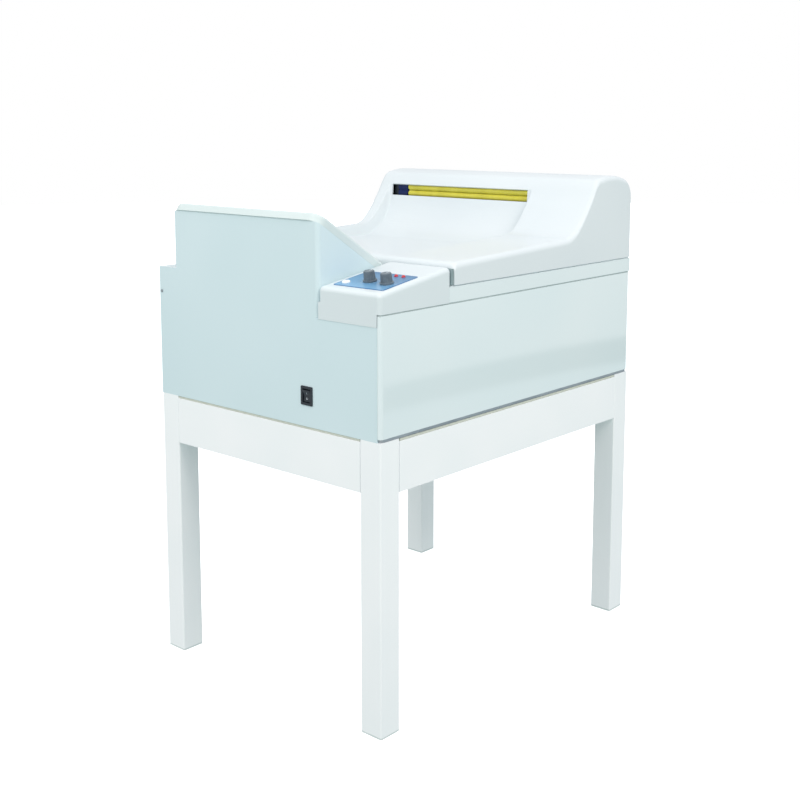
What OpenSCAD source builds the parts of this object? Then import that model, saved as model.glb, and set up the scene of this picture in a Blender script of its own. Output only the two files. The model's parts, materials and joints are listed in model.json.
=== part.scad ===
// Table-stand film processor: feed hopper, developing tanks with roller racks, dryer and hinged top cover.
// Units are millimetres. X runs along the rollers, Y along the film's way, Z up from the floor.

/* [Cabinet] */
// Width across the side panels
body_w = 620; // [580:1:680]
// Depth from the tray's lip to the hinge knuckles
body_d = 840; // [820:1:900]
// Height of the side panels above the stand
side_h = 230; // [220:1:260]
// Height of the deck band between the side panels and the top cover
deck_h = 32; // [28:1:40]
// Thickness of the end and rear panels
panel_t = 3; // [2:0.5:4]
// Thickness of the side panels
skin_t = 2; // [1.5:0.5:3]
// Bend radius of the side panels' upright corners
corner_r = 8; // [6:1:12]
// Width of the visible seams between panels
seam_gap = 2.5; // [1:0.5:4]

/* [Stand] */
// Height of the leg tops above the floor
stand_h = 557; // [480:1:680]
// Width of the square legs
leg_w = 51; // [45:1:65]
// Wall of the leg tubes
leg_wall = 2.5; // [2:0.5:4]
// Height of the aprons between the legs
apron_h = 95; // [80:1:130]
// Depth of the aprons' channel
apron_t = 30; // [20:1:40]
// Shadow gap between the aprons and the cabinet
apron_gap = 5; // [3:1:10]
// Thickness of the leg end caps
cap_t = 4; // [3:1:8]

/* [Film path] */
// Length of the transport rollers
roller_l = 360; // [350:1:380]
// Sideways place of the film's centre line
film_x = -42; // [-50:1:-34]
// Radius of the transport rollers
roller_r = 30; // [27:0.5:31]
// Radius of the roller shafts
shaft_r = 5; // [4:0.5:6]
// Running clearance of shafts, belts and other moving pieces
run_gap = 0.3; // [0.2:0.05:0.5]
// Teeth of the roller gears
gear_teeth = 33; // [30:1:36]
// Teeth of the entry roller's gear
entry_teeth = 12; // [11:1:14]
// Width of the roller gears
gear_w = 10; // [6:1:12]
// Width of the drive belts
belt_w = 4; // [3:0.5:5]
// Thickness of the drive belts
belt_t = 1.6; // [1:0.2:2]
// Radius of the belt pulleys
pulley_r = 12; // [10:1:15]
// Thickness of the racks' side plates
plate_t = 5; // [4:1:6]
// Distance from the end panel to the middle tank
tank_back = 412; // [404:1:420]
// Wall of the tank block
tank_wall = 6; // [4:1:7]

/* [Feed tray] */
// Slope of the feed tray in degrees
tray_tilt = 32.5; // [31:0.5:34]
// Depth from the end panel to the top cover's front edge
hopper_d = 205; // [198:1:215]
// Height of the lip's lower edge above the deck
tray_lip_h = 125; // [116:1:134]
// Height of the tray's rim, square to its floor
rim_h = 17.5; // [15:0.5:20]
// Width of the tray's rim
rim_w = 18; // [14:1:22]
// Depth of the tray's floor below the rim
tray_recess = 12; // [8:1:14]
// How far the lip stands out over the end panel
lip_overhang = 3; // [2:0.5:5]
// Clear width of the hopper beside the rollers' ends
hopper_margin = 29.5; // [28:0.5:31]

/* [Control box] */
// Gap between the control box and the top cover
control_gap = 9; // [7:1:16]
// Height of the control box's front above the deck's lower seam
control_front_h = 37; // [30:1:45]
// Slope of the control panel in degrees
control_tilt = 8.8; // [6:0.2:10]
// Wall of the control box
control_wall = 3; // [2:0.5:4]
// Edge radius of the control box
control_r = 9; // [6:1:12]
// Radius of the control knobs
knob_r = 11; // [9:0.5:13]
// Height of the control knobs
knob_h = 20; // [15:1:25]
// Radius of the push button
button_r = 8; // [6:0.5:10]
// Travel of the push button
button_travel = 2; // [1:0.5:3]

/* [Power switch] */
// Width of the power switch
switch_w = 30; // [24:1:36]
// Height of the power switch
switch_h = 36; // [30:1:44]

/* [Top cover] */
// Height of the cover's front edge above the deck
cover_front_h = 42; // [40:1:48]
// Height of the rear hump above the deck
hump_h = 184; // [170:1:200]
// Rise of the cover's top towards the hump, per millimetre
cover_rise = 0.04; // [0.03:0.01:0.07]
// Wall of the cover
cover_t = 4; // [3:0.5:5]
// Edge radius of the cover
edge_r = 12; // [8:1:14]
// Edge radius of the hump's rear
rear_r = 24; // [18:1:30]
// Height of the film bay's floor above the deck
bay_h = 31; // [26:1:34]
// Radius of the curve from the bay's floor up to the exit slot
bay_r = 110; // [100:1:115]
// Distance from the rear face to the exit slot
slot_back = 156; // [152:1:165]
// Height of the exit slot
slot_h = 30; // [27:1:33]
// Radius of the exit rollers
exit_r = 7.5; // [6.5:0.5:8.5]

/* [Hidden] */
$fn = 48;

// Colours as the object shows them
paint_white = "#eef3f2";
panel_grey = "#c8dce0";
gloss_white = "#d8e6e6";
cover_white = "#e8eff2";
plastic_black = "#16222c";
knob_grey = "#5a6872";
overlay_blue = "#5a96c2";
roller_yellow = "#c8c83c";
gear_blue = "#1e3070";
rubber_grey = "#6b7175";
steel_grey = "#a9b0b4";
tank_grey = "#b9bfc2";
board_green = "#2f6b45";
lamp_red = "#c8342c";

// Places of the cabinet's faces and seams
half_w = body_w / 2;
hinge_depth = 6;
front_y = -body_d / 2 + lip_overhang;
rear_y = body_d / 2 - hinge_depth;
inner_front_y = front_y + panel_t;
inner_rear_y = rear_y - panel_t;
seam_z = stand_h + side_h;
cover_z = seam_z + deck_h;
cover_y0 = front_y + hopper_d;
panel_edge_x = half_w - corner_r;
skirt_gap = 6;
cut = 1;

// Base pan and frame
pan_t = 3;
pan_flange = 25;
pan_corner_r = 5;
pan_z = stand_h + pan_t;
pan_x = half_w - skin_t;
post_w = 30;
post_t = 3;
post_x = pan_x - pan_t;
bolt_r = 4;
bolt_hole_r = 4.5;
bolt_head_r = 7;
bolt_head_h = 5;
leg_top_plate = 5;
leg_corner_r = 3;
rail_w = 30;
rail_wall = 3;
rail_strip_inset = 4;
rail_gap = 0.2;
cover_rest_gap = 0.3;

// Film path across the machine
roller_x0 = film_x - roller_l / 2;
roller_x1 = film_x + roller_l / 2;
roller_end_gap = 7;
belt_gap = 1.5;
gear_side_gap = 0.5;
shaft_stub = 1;
shaft_end = 4;
plate_x0 = roller_x0 - roller_end_gap - plate_t;
plate_x1 = roller_x1 + roller_end_gap;
belt_x = plate_x0 - belt_gap - belt_w;
gear_x = belt_x - gear_side_gap - gear_w;
drive_x = gear_x - belt_gap - belt_w;
shaft_x1 = plate_x1 + plate_t + shaft_end;
hopper_shift = -10.5;
hopper_x0 = roller_x0 - hopper_margin + hopper_shift;
hopper_x1 = roller_x1 + hopper_margin + hopper_shift;

// Feed tray's sloping plane: rim_z(y) is the height of the rim's lower face, floor_z(y) that of the floor
tray_floor_t = 3;
tray_floor_h = rim_h - tray_recess;
tray_front_y = -body_d / 2;
tray_lip_z = cover_z + tray_lip_h;
function rim_z(y) = tray_lip_z - (y - tray_front_y) * tan(tray_tilt);
function floor_z(y) = rim_z(y) + tray_floor_h / cos(tray_tilt);

// Roller racks: film runs down the front of each rack, round its bottom roller, up and over the crossover
tank_y = front_y + tank_back;
rack_pitch = 4 * roller_r;
rack_y = [tank_y - rack_pitch, tank_y, tank_y + rack_pitch];
gear_gap = 6;
gear_pitch_d = 2 * roller_r + gear_gap;
gear_module = gear_pitch_d / gear_teeth;
gear_tip = 0.9;
gear_root = 1.25;
tooth_root = 0.3;
tooth_tip = 0.13;
gear_tip_r = gear_pitch_d / 2 + gear_tip * gear_module;
crossover_dy = rack_pitch / 2;
crossover_dz = sqrt(gear_pitch_d * gear_pitch_d - crossover_dy * crossover_dy);
entry_pitch_r = entry_teeth * gear_module / 2;
entry_r = roller_r * entry_teeth / gear_teeth;
entry_angle = 133;
entry_reach = gear_pitch_d / 2 + entry_pitch_r;
entry_y = rack_y[0] + entry_reach * cos(entry_angle);
nip_y = entry_y + entry_r * sin(tray_tilt);
rack_top_z = floor_z(nip_y) - entry_r * cos(tray_tilt) - entry_reach * sin(entry_angle);
entry_z = rack_top_z + entry_reach * sin(entry_angle);
entry_gap = 0.3;
entry_upper_y = entry_y + (2 * entry_r + entry_gap) * sin(tray_tilt);
entry_upper_z = entry_z + (2 * entry_r + entry_gap) * cos(tray_tilt);
crossover_z = rack_top_z + crossover_dz;
tank_floor_z = pan_z + tank_wall;
guide_gap = 4;
guide_t = 2;
guide_r = roller_r + guide_gap;
shoe_lift = 10;
rack_bottom_z = tank_floor_z + shoe_lift + guide_r + guide_t;
tank_gear_gap = 5;
tank_side = 5;
tank_top_z = rack_top_z - gear_tip_r - tank_gear_gap;
tank_len = rack_pitch - tank_wall;
tank_x0 = belt_x - tank_side;
tank_x1 = shaft_x1 + tank_side;
rack_inset = 12;
arm_over = 9;
rack_half = rack_pitch / 2 - rack_inset;
rack_arm = crossover_dy + arm_over;
rack_top_cap = 26;
tie_r = 6;
drain_r = 5;
spigot_r = 8;
spigot_flange_r = 13;
spigot_l = 38;

// Top cover: crest_z(y) is the outline of the ridges, bay_z(y) that of the film bay between them
slot_y0 = rear_y - slot_back;
slot_step = 3;
slot_y1 = slot_y0 + slot_step;
bay_z0 = cover_z + bay_h;
curve_over = 2;
bay_curve_y = slot_y0 + curve_over - bay_r;
slot_z0 = bay_z0 + bay_r - sqrt(bay_r * bay_r - pow(slot_y0 - bay_curve_y, 2));
slot_z1 = slot_z0 + slot_h;
slot_lip_y = slot_y1 + slot_step;
swell_lead = 58;
swell_y0 = slot_y0 - swell_lead;
swell_len = 85;
crown_back = 79;
crown_y = rear_y - crown_back;
crown_r = 200;
bay_lead = 22;
bay_front_y = cover_y0 + bay_lead;
bay_wall = 12;
bay_gear_room = 46;
bay_x0 = roller_x0 - bay_gear_room;
bay_lap = 2;
bay_x1 = roller_x1 - bay_lap;
notch_gap = 3;
notch_h = 28;
notch_z = cover_z + notch_h;
function blend(t) = let (c = min(1, max(0, t))) c * c * (3 - 2 * c);
function mix(a, b, w) = a * (1 - w) + b * w;
function edge_drop(d, r) = d >= r ? 0 : r - sqrt(r * r - pow(r - max(d, 0), 2));
function ramp_z(y) = cover_z + cover_front_h + (y - cover_y0 - edge_r) * cover_rise;
function crown_z(y) = cover_z + hump_h - pow(y - crown_y, 2) / (2 * crown_r);
function crest_z(y) =
    mix(ramp_z(y), crown_z(y), blend((y - swell_y0) / swell_len))
    - edge_drop(y - cover_y0, edge_r) - edge_drop(rear_y - y, rear_r);
function bay_arc_z(y) = bay_z0 + bay_r - sqrt(bay_r * bay_r - pow(y - bay_curve_y, 2));
function bay_z(y) =
    y < bay_curve_y ? bay_z0 :
    y <= slot_y0 ? bay_arc_z(y) :
    y <= slot_y1 ? mix(slot_z0, slot_z1, (y - slot_y0) / (slot_y1 - slot_y0)) :
    y < slot_lip_y ? mix(slot_z1, crest_z(slot_lip_y), (y - slot_y1) / (slot_lip_y - slot_y1)) :
    crest_z(y);

// Exit rollers and the dryer's turn rollers
exit_nip_gap = 0.3;
exit_back = 13;
exit_y = slot_y1 + exit_back;
exit_z = (slot_z0 + slot_z1) / 2;
exit_pitch = 2 * exit_r + exit_nip_gap;
exit_teeth = 16;
exit_gear_w = 29;
exit_shaft_r = 3;
exit_block_w = 12;
exit_side = 1;
exit_end_gap = 3;
exit_block_x0 = bay_x0 + exit_side;
exit_block_x1 = roller_x1 + exit_end_gap;
dryer_back = 69;
dryer_lift = 30;
dryer_y = rear_y - dryer_back;
dryer_upper_z = exit_z - roller_r;
dryer_lower_z = rack_top_z + dryer_lift;
dryer_half = 36;
air_tube_r = 14;

// Hinges of the top cover
hinge_out = 3.2;
hinge_y = rear_y + hinge_out;
hinge_z = cover_z;
knuckle_r = body_d / 2 - hinge_y;
hinge_pin_r = 1.3;
hinge_inset = 110;
hinge_x = [-half_w + hinge_inset, half_w - hinge_inset];
hinge_w = 60;
knuckle_w = hinge_w / 4;
hinge_leaf_t = 1.5;
hinge_leaf_h = 22;
hinge_gap = 0.4;

// Control box and its panel
control_side_gap = 0.5;
control_out = 1;
control_x0 = hopper_x1 + control_side_gap;
control_y0 = front_y - control_out;
control_y1 = cover_y0 - control_gap;
control_front_z = seam_z + control_front_h;
control_w = half_w - control_x0;
control_skirt = 23;
overlay_t = 0.8;
overlay_r = 6;
overlay_shift = 3;
overlay_x = control_x0 + control_w / 2 + overlay_shift;
overlay_w = 124;
overlay_y0 = 20;
overlay_y1 = 119;
knob_spots = [[overlay_x - 6, 61], [overlay_x + 37, 59]];
knob_lift = 0.4;
knob_shaft_r = 3;
knob_hole_r = 4;
button_spot = [overlay_x - 46, 40];
button_h = 4;
lamp_r = 4;
lamp_spots = [[overlay_x + 18, 106], [overlay_x + 36, 106]];
board_drop = 24;
board_t = 1.6;
board_w = 110;
board_l = 90;
board_y0 = 24;

// Power switch on the end panel
switch_inset = 32;
switch_lift = 59;
switch_x = hopper_x1 - switch_inset;
switch_z = stand_h + switch_lift;
switch_frame = 3.5;
switch_hole_w = switch_w - 2 * switch_frame;
switch_hole_h = switch_h - 2 * switch_frame;
bezel_t = 2;
rocker_back = 4;
rocker_pin_r = 2;

// Drive motor and blower
motor_back = 117;
motor_lift = 107;
motor_y = front_y + motor_back;
motor_z = pan_z + motor_lift;
motor_r = 30;
motor_box = 70;
motor_box_l = 58;
motor_can_l = 80;
motor_face = 8;
blower_back = 99;
blower_lift = 90;
blower_y = rear_y - blower_back;
blower_z = pan_z + blower_lift;
blower_r = 72;
duct_x0 = plate_x1 + plate_t;
duct_w = 30;
duct_half = 26;
blower_gap = 2;
blower_x0 = duct_x0 + duct_w + blower_gap;
blower_l = 78;
blower_wall = 4;
blower_inlet_r = 38;
wheel_r = 58;
wheel_blades = 18;
fan_shaft_r = 4;

// Shapes drawn across the machine or along it
module along_x(x0, len) {
    translate([x0, 0, 0]) rotate([90, 0, 90]) linear_extrude(len) children();
}
module along_y(y0, len) {
    translate([0, y0 + len, 0]) rotate([90, 0, 0]) linear_extrude(len) children();
}
module rod_x(r, x0, x1, y, z) {
    translate([x0, y, z]) rotate([0, 90, 0]) cylinder(r = r, h = x1 - x0);
}
module box(low, high) {
    translate(low) cube(high - low);
}
module rounded_square(w, d, r) {
    square([w - 2 * r, d], center = true);
    square([w, d - 2 * r], center = true);
    for (sx = [-1, 1], sy = [-1, 1])
        translate([sx * (w / 2 - r), sy * (d / 2 - r)]) circle(r);
}
module gear_outline(teeth, size, phase) {
    step = 360 / teeth;
    root_r = size * teeth / 2 - gear_root * size;
    tip_r = size * teeth / 2 + gear_tip * size;
    rotate(phase) polygon([
        for (k = [0 : teeth - 1],
             p = [[root_r, -tooth_root], [tip_r, -tooth_tip], [tip_r, tooth_tip], [root_r, tooth_root]])
            p[0] * [cos((k + p[1]) * step), sin((k + p[1]) * step)]
    ]);
}
// Phase of a gear in mesh with another whose phase is known, at a bearing seen from the other
function mesh_phase(other, bearing, other_teeth, teeth) =
    bearing + 180 + 180 / teeth - (other - bearing) * other_teeth / teeth;
module belt_loop(x0, from, to) {
    span = norm(to - from);
    turn = atan2(to[1] - from[1], to[0] - from[0]);
    inner = pulley_r + run_gap;
    along_x(x0, belt_w) translate(from) rotate(turn) difference() {
        loop_outline(span, inner + belt_t);
        loop_outline(span, inner);
    }
}
module loop_outline(span, r) {
    circle(r);
    translate([span, 0]) circle(r);
    translate([0, -r]) square([span, 2 * r]);
}

// Stand
module leg(sx, y) {
    color(paint_white) translate([sx * (half_w - leg_w / 2), y, cap_t]) difference() {
        linear_extrude(stand_h - cap_t) rounded_square(leg_w, leg_w, leg_corner_r);
        translate([0, 0, -cut]) linear_extrude(stand_h - cap_t - leg_top_plate + cut)
            square(leg_w - 2 * leg_wall, center = true);
        cylinder(r = bolt_hole_r, h = stand_h);
    }
}
leg_front_y = front_y + leg_w / 2;
leg_rear_y = rear_y - leg_w / 2;
apron_z1 = stand_h - apron_gap;
apron_z0 = apron_z1 - apron_h;
module apron_channel() {
    difference() {
        square([apron_t, apron_h]);
        translate([leg_wall, leg_wall]) square([apron_t, apron_h - 2 * leg_wall]);
    }
}
module apron_across(y, turn) {
    color(paint_white) along_x(-half_w + leg_w, body_w - 2 * leg_w)
        translate([y, apron_z0]) mirror([turn, 0]) apron_channel();
}
module apron_along(sx) {
    color(paint_white) along_y(front_y + leg_w, rear_y - front_y - 2 * leg_w)
        translate([sx * half_w, apron_z0]) mirror([sx > 0 ? 1 : 0, 0]) apron_channel();
}
module leg_end_caps() {
    plug_w = leg_w - 2 * leg_wall - 2 * run_gap;
    plug_h = 16;
    color(rubber_grey) for (sx = [-1, 1], y = [leg_front_y, leg_rear_y])
        translate([sx * (half_w - leg_w / 2), y, 0]) {
            linear_extrude(cap_t) rounded_square(leg_w, leg_w, leg_corner_r);
            translate([0, 0, cap_t]) linear_extrude(plug_h) square(plug_w, center = true);
        }
}
module stand_bolts() {
    shank_l = pan_t + leg_top_plate + 8;
    color(steel_grey) for (sx = [-1, 1], y = [leg_front_y, leg_rear_y])
        translate([sx * (half_w - leg_w / 2), y, pan_z]) {
            cylinder(r = bolt_head_r, h = bolt_head_h, $fn = 6);
            translate([0, 0, -shank_l]) cylinder(r = bolt_r, h = shank_l);
        }
}

// Cabinet
module base_pan() {
    y0 = inner_front_y;
    y1 = inner_rear_y;
    hole_h = pan_t + 2 * cut;
    color(steel_grey) difference() {
        translate([0, (y0 + y1) / 2, stand_h]) linear_extrude(pan_t + pan_flange)
            rounded_square(2 * pan_x, y1 - y0, pan_corner_r);
        box([-pan_x + pan_t, y0 + pan_t, pan_z], [pan_x - pan_t, y1 - pan_t, pan_z + pan_flange + cut]);
        for (sx = [-1, 1], y = [leg_front_y, leg_rear_y])
            translate([sx * (half_w - leg_w / 2), y, stand_h - cut]) cylinder(r = bolt_hole_r, h = hole_h);
        for (y = rack_y)
            translate([film_x, y, stand_h - cut]) cylinder(r = spigot_flange_r + run_gap, h = hole_h);
    }
}
module angle_post(sx, sy, y) {
    translate([sx * post_x, y, pan_z]) mirror([sx > 0 ? 1 : 0, 0]) mirror([0, sy > 0 ? 1 : 0])
        linear_extrude(seam_z - pan_z) difference() {
            square(post_w);
            translate([post_t, post_t]) square(post_w);
        }
}
module frame_posts() {
    color(steel_grey) {
        for (sx = [-1, 1]) {
            angle_post(sx, -1, inner_front_y + pan_t);
            angle_post(sx, 1, inner_rear_y - pan_t);
        }
        angle_post(1, -1, rail_y0);
    }
}
wing_gap = 2;
wing_y1 = cover_y0 - wing_gap;
rail_y0 = control_y1 + wing_gap;
hopper_r = 10;
panel_gap = 0.5;
ledge_h = 5;
ledge_z = cover_z + ledge_h;
module hopper_walls() {
    mid_x = (hopper_x0 + hopper_x1) / 2;
    width = hopper_x1 - hopper_x0;
    depth = 2 * (wing_y1 - front_y);
    difference() {
        translate([mid_x, wing_y1, 0]) difference() {
            rounded_square(width, depth, hopper_r);
            rounded_square(width - 2 * panel_t, depth - 2 * panel_t, hopper_r - panel_t);
        }
        translate([hopper_x0 - cut, wing_y1]) square([width + 2 * cut, depth]);
    }
}
module end_panel() {
    control_z = seam_z - control_skirt;
    right_x = panel_edge_x - panel_gap;
    reach = body_d;
    color(panel_grey) difference() {
        union() {
            along_y(front_y, panel_t) polygon([
                [-half_w, stand_h], [right_x, stand_h], [right_x, control_z],
                [hopper_x1 - hopper_r, control_z], [hopper_x1 - hopper_r, ledge_z],
                [-half_w, ledge_z]
            ]);
            translate([0, 0, control_z]) linear_extrude(tray_lip_z - control_z) hopper_walls();
        }
        translate([-half_w - cut, tray_front_y, tray_lip_z]) rotate([-tray_tilt, 0, 0])
            cube([body_w + 2 * cut, reach, reach]);
        translate([switch_x, front_y + panel_t / 2, switch_z])
            cube([switch_hole_w, panel_t + 2 * cut, switch_hole_h], center = true);
    }
}
vent_count = 9;
vent_pitch = 14;
vent_l = 160;
vent_h = 6;
vent_drop = 40;
inlet_inset = 90;
inlet_lift = 70;
inlet_x = half_w - inlet_inset;
inlet_z = stand_h + inlet_lift;
inlet_w = 28;
inlet_h = 22;
module rear_panel() {
    top_z = seam_z - seam_gap;
    color(panel_grey) difference() {
        box([-panel_edge_x + panel_gap, inner_rear_y, stand_h], [panel_edge_x - panel_gap, rear_y, top_z]);
        for (k = [0 : vent_count - 1])
            along_y(inner_rear_y - cut, panel_t + 2 * cut)
                translate([film_x, top_z - vent_drop - k * vent_pitch])
                    rounded_square(vent_l, vent_h, vent_h / 2 - 0.1);
        box([inlet_x - inlet_w / 2, inner_rear_y - cut, inlet_z - inlet_h / 2],
            [inlet_x + inlet_w / 2, rear_y + cut, inlet_z + inlet_h / 2]);
    }
}
module wrapped_skin(y0, y1) {
    width = 2 * corner_r;
    difference() {
        translate([half_w - corner_r, (y0 + y1) / 2]) difference() {
            rounded_square(width, y1 - y0, corner_r - 0.1);
            rounded_square(width - 2 * skin_t, y1 - y0 - 2 * skin_t, corner_r - skin_t - 0.1);
        }
        translate([half_w - 2 * width, y0 - cut])
            square([2 * width - corner_r + panel_gap, y1 - y0 + 2 * cut]);
    }
}
module right_panel() {
    color(gloss_white) translate([0, 0, stand_h + skirt_gap])
        linear_extrude(side_h - skirt_gap - seam_gap) wrapped_skin(front_y, rear_y);
}
module left_panel() {
    color(gloss_white) translate([0, 0, stand_h + skirt_gap])
        linear_extrude(side_h - skirt_gap - seam_gap) intersection() {
            mirror([1, 0]) wrapped_skin(front_y, rear_y);
            translate([-half_w - cut, inner_front_y + cover_rest_gap]) square([body_w, body_d]);
        }
}
module rail_outline() {
    top = deck_h - seam_gap;
    difference() {
        union() {
            square([rail_w, top]);
            translate([rail_strip_inset, 0])
                square([rail_w - 2 * rail_strip_inset, deck_h - cover_rest_gap]);
        }
        translate([rail_wall, rail_wall]) square([rail_w - 2 * rail_wall, top - 2 * rail_wall]);
    }
}
module deck_frame() {
    ledge_wall = 7;
    ledge_y0 = inner_front_y + rail_gap;
    ledge_x1 = hopper_x0 - rail_gap;
    color(cover_white) {
        along_y(rail_y0, rear_y - rail_y0)
            translate([half_w, seam_z]) mirror([1, 0]) rail_outline();
        along_y(cover_y0, rear_y - cover_y0) translate([-half_w, seam_z]) rail_outline();
        along_x(-half_w + rail_w + rail_gap, body_w - 2 * rail_w - 2 * rail_gap)
            translate([rear_y, seam_z]) mirror([1, 0]) rail_outline();
        difference() {
            box([-half_w, ledge_y0, seam_z], [ledge_x1, wing_y1, ledge_z]);
            box([-half_w + ledge_wall, ledge_y0 + ledge_wall, seam_z - cut],
                [ledge_x1 - ledge_wall, wing_y1 - ledge_wall, ledge_z - ledge_wall]);
        }
    }
}

// Feed tray, drawn flat and then tilted about its lip
tray_x0 = hopper_x0;
tray_x1 = hopper_x1;
rim_corner = 24;
rim_edge = 6;
rim_back = 20;
tray_end_gap = 2;
rim_l = (cover_y0 - rim_back - tray_front_y) / cos(tray_tilt);
tray_l = (nip_y - tray_front_y) / cos(tray_tilt) - entry_pitch_r - 2 * gear_module - tray_end_gap;
module rim_section() {
    square([rim_w, rim_h - rim_edge]);
    translate([rim_edge, 0]) square([rim_w - 2 * rim_edge, rim_h]);
    for (x = [rim_edge, rim_w - rim_edge])
        translate([x, rim_h - rim_edge]) circle(rim_edge);
}
module side_rim() {
    translate([0, rim_l, 0]) rotate([90, 0, 0]) linear_extrude(rim_l - rim_corner) rim_section();
    translate([rim_corner, rim_corner, 0]) rotate([0, 0, 180]) rotate_extrude(angle = 90)
        translate([rim_corner, 0]) mirror([1, 0]) rim_section();
}
module feed_tray() {
    width = tray_x1 - tray_x0;
    color(paint_white) translate([tray_x0, tray_front_y, tray_lip_z]) rotate([-tray_tilt, 0, 0]) {
        side_rim();
        translate([width, 0, 0]) mirror([1, 0, 0]) side_rim();
        translate([rim_corner, 0, 0]) rotate([90, 0, 90])
            linear_extrude(width - 2 * rim_corner) rim_section();
        box([rim_w / 2, rim_w / 2, tray_floor_h - tray_floor_t], [width - rim_w / 2, tray_l, tray_floor_h]);
    }
}

// Control box
module on_panel() {
    translate([0, control_y0, control_front_z]) rotate([control_tilt, 0, 0]) children();
}
module control_form(inset) {
    r = control_r - inset;
    xs = [control_x0 + control_r, half_w - control_r];
    ys = [control_y0 + control_r, control_y1 - control_r];
    hull() for (x = xs, y = ys) {
        top = control_front_z + (y - control_y0) * tan(control_tilt) - control_r / cos(control_tilt);
        translate([x, y, seam_z - cut]) cylinder(r = r, h = top - seam_z + cut, $fn = 32);
        translate([x, y, top]) sphere(r, $fn = 32);
    }
}
module control_box() {
    inner = control_wall;
    color(cover_white) difference() {
        union() {
            intersection() {
                control_form(0);
                box([control_x0, control_y0, seam_z], [half_w, control_y1, tray_lip_z]);
            }
            box([control_x0, control_y0, seam_z - control_skirt],
                [panel_edge_x - panel_gap, control_y0 + inner, seam_z + control_r]);
        }
        control_form(inner);
        on_panel() {
            for (p = knob_spots)
                translate([p[0], p[1], -2 * inner]) cylinder(r = knob_hole_r, h = 4 * inner);
            translate([button_spot[0], button_spot[1], -2 * inner])
                cylinder(r = button_r + run_gap, h = 4 * inner);
            for (p = lamp_spots)
                translate([p[0], p[1], -2 * inner]) cylinder(r = lamp_r / 2 + run_gap, h = 4 * inner);
        }
    }
}
module control_overlay() {
    color(overlay_blue) on_panel() difference() {
        translate([overlay_x, (overlay_y0 + overlay_y1) / 2, 0])
            linear_extrude(overlay_t) rounded_square(overlay_w, overlay_y1 - overlay_y0, overlay_r);
        for (p = knob_spots)
            translate([p[0], p[1], -cut]) cylinder(r = knob_hole_r, h = overlay_t + 2 * cut);
        translate([button_spot[0], button_spot[1], -cut])
            cylinder(r = button_r + run_gap, h = overlay_t + 2 * cut);
        for (p = lamp_spots)
            translate([p[0], p[1], -cut]) cylinder(r = lamp_r / 2 + run_gap, h = overlay_t + 2 * cut);
    }
}
module indicator_lamps() {
    stem_l = board_drop - board_t;
    color(lamp_red) on_panel() for (p = lamp_spots) translate([p[0], p[1], 0]) {
        translate([0, 0, overlay_t]) rotate_extrude() intersection() {
            circle(lamp_r);
            square(lamp_r);
        }
        translate([0, 0, -stem_l]) cylinder(r = lamp_r / 2, h = stem_l + overlay_t);
    }
}
pot_r = 8;
pot_h = 10;
seat_gap = 0.1;
module control_board() {
    top = -board_drop + board_t;
    post_r = 3;
    post_inset = 4;
    post_h = -top - control_wall - seat_gap;
    post_side = board_w / 2 - post_inset;
    color(board_green) on_panel() difference() {
        union() {
            translate([overlay_x - board_w / 2, board_y0, -board_drop]) cube([board_w, board_l, board_t]);
            for (p = knob_spots)
                translate([p[0], p[1], top]) cylinder(r = pot_r, h = pot_h);
            translate([button_spot[0], button_spot[1], top]) cylinder(r = button_r - 2, h = pot_h / 2);
            for (sx = [-1, 1], y = [board_y0 + post_inset, board_y0 + board_l - post_inset])
                translate([overlay_x + sx * post_side, y, top]) cylinder(r = post_r, h = post_h);
        }
        for (p = knob_spots)
            translate([p[0], p[1], top + cut]) cylinder(r = knob_shaft_r + run_gap, h = pot_h);
    }
}
module knob(spot) {
    flange_r = knob_r + 2;
    flange_h = 3;
    crown = 2;
    shaft_l = board_drop - board_t - 4;
    color(knob_grey) on_panel() translate([spot[0], spot[1], overlay_t + knob_lift]) {
        rotate_extrude() polygon([
            [0, 0], [flange_r, 0], [flange_r, flange_h - 1], [flange_r - 1, flange_h], [knob_r, flange_h],
            [knob_r - 0.8, knob_h - crown], [knob_r - 0.8 - crown, knob_h], [0, knob_h]
        ]);
        translate([-0.8, 0, 0]) cube([1.6, flange_r - 0.2, knob_h - crown]);
        translate([0, 0, -shaft_l]) cylinder(r = knob_shaft_r, h = shaft_l);
    }
}
module start_button() {
    stem_l = board_drop - board_t - pot_h / 2 - button_travel - 1;
    flange = 1.8;
    color("white") on_panel() translate([button_spot[0], button_spot[1], 0]) {
        rotate_extrude() polygon([
            [0, -stem_l], [knob_shaft_r, -stem_l], [knob_shaft_r, -control_wall - flange],
            [button_r + flange, -control_wall - flange], [button_r + flange, -control_wall - run_gap],
            [button_r, -control_wall - run_gap], [button_r, button_h - 1.5], [button_r - 1.5, button_h],
            [0, button_h]
        ]);
    }
}

// Power switch
bezel_depth = 14;
module switch_bezel() {
    hole_w = switch_hole_w;
    hole_h = switch_hole_h;
    wall = 1.5;
    bezel_r = 2;
    color(plastic_black) difference() {
        union() {
            along_y(front_y - bezel_t, bezel_t) translate([switch_x, switch_z])
                rounded_square(switch_w, switch_h, bezel_r);
            box([switch_x - hole_w / 2 + run_gap, front_y - cut, switch_z - hole_h / 2 + run_gap],
                [switch_x + hole_w / 2 - run_gap, front_y + bezel_depth, switch_z + hole_h / 2 - run_gap]);
        }
        box([switch_x - hole_w / 2 + wall, front_y - bezel_t - cut, switch_z - hole_h / 2 + wall],
            [switch_x + hole_w / 2 - wall, front_y + bezel_depth - wall, switch_z + hole_h / 2 - wall]);
        rod_x(rocker_pin_r + run_gap, switch_x - switch_w / 2, switch_x + switch_w / 2, rocker_y, switch_z);
    }
}
rocker_tilt = 7;
rocker_y = front_y + rocker_back;
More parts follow.
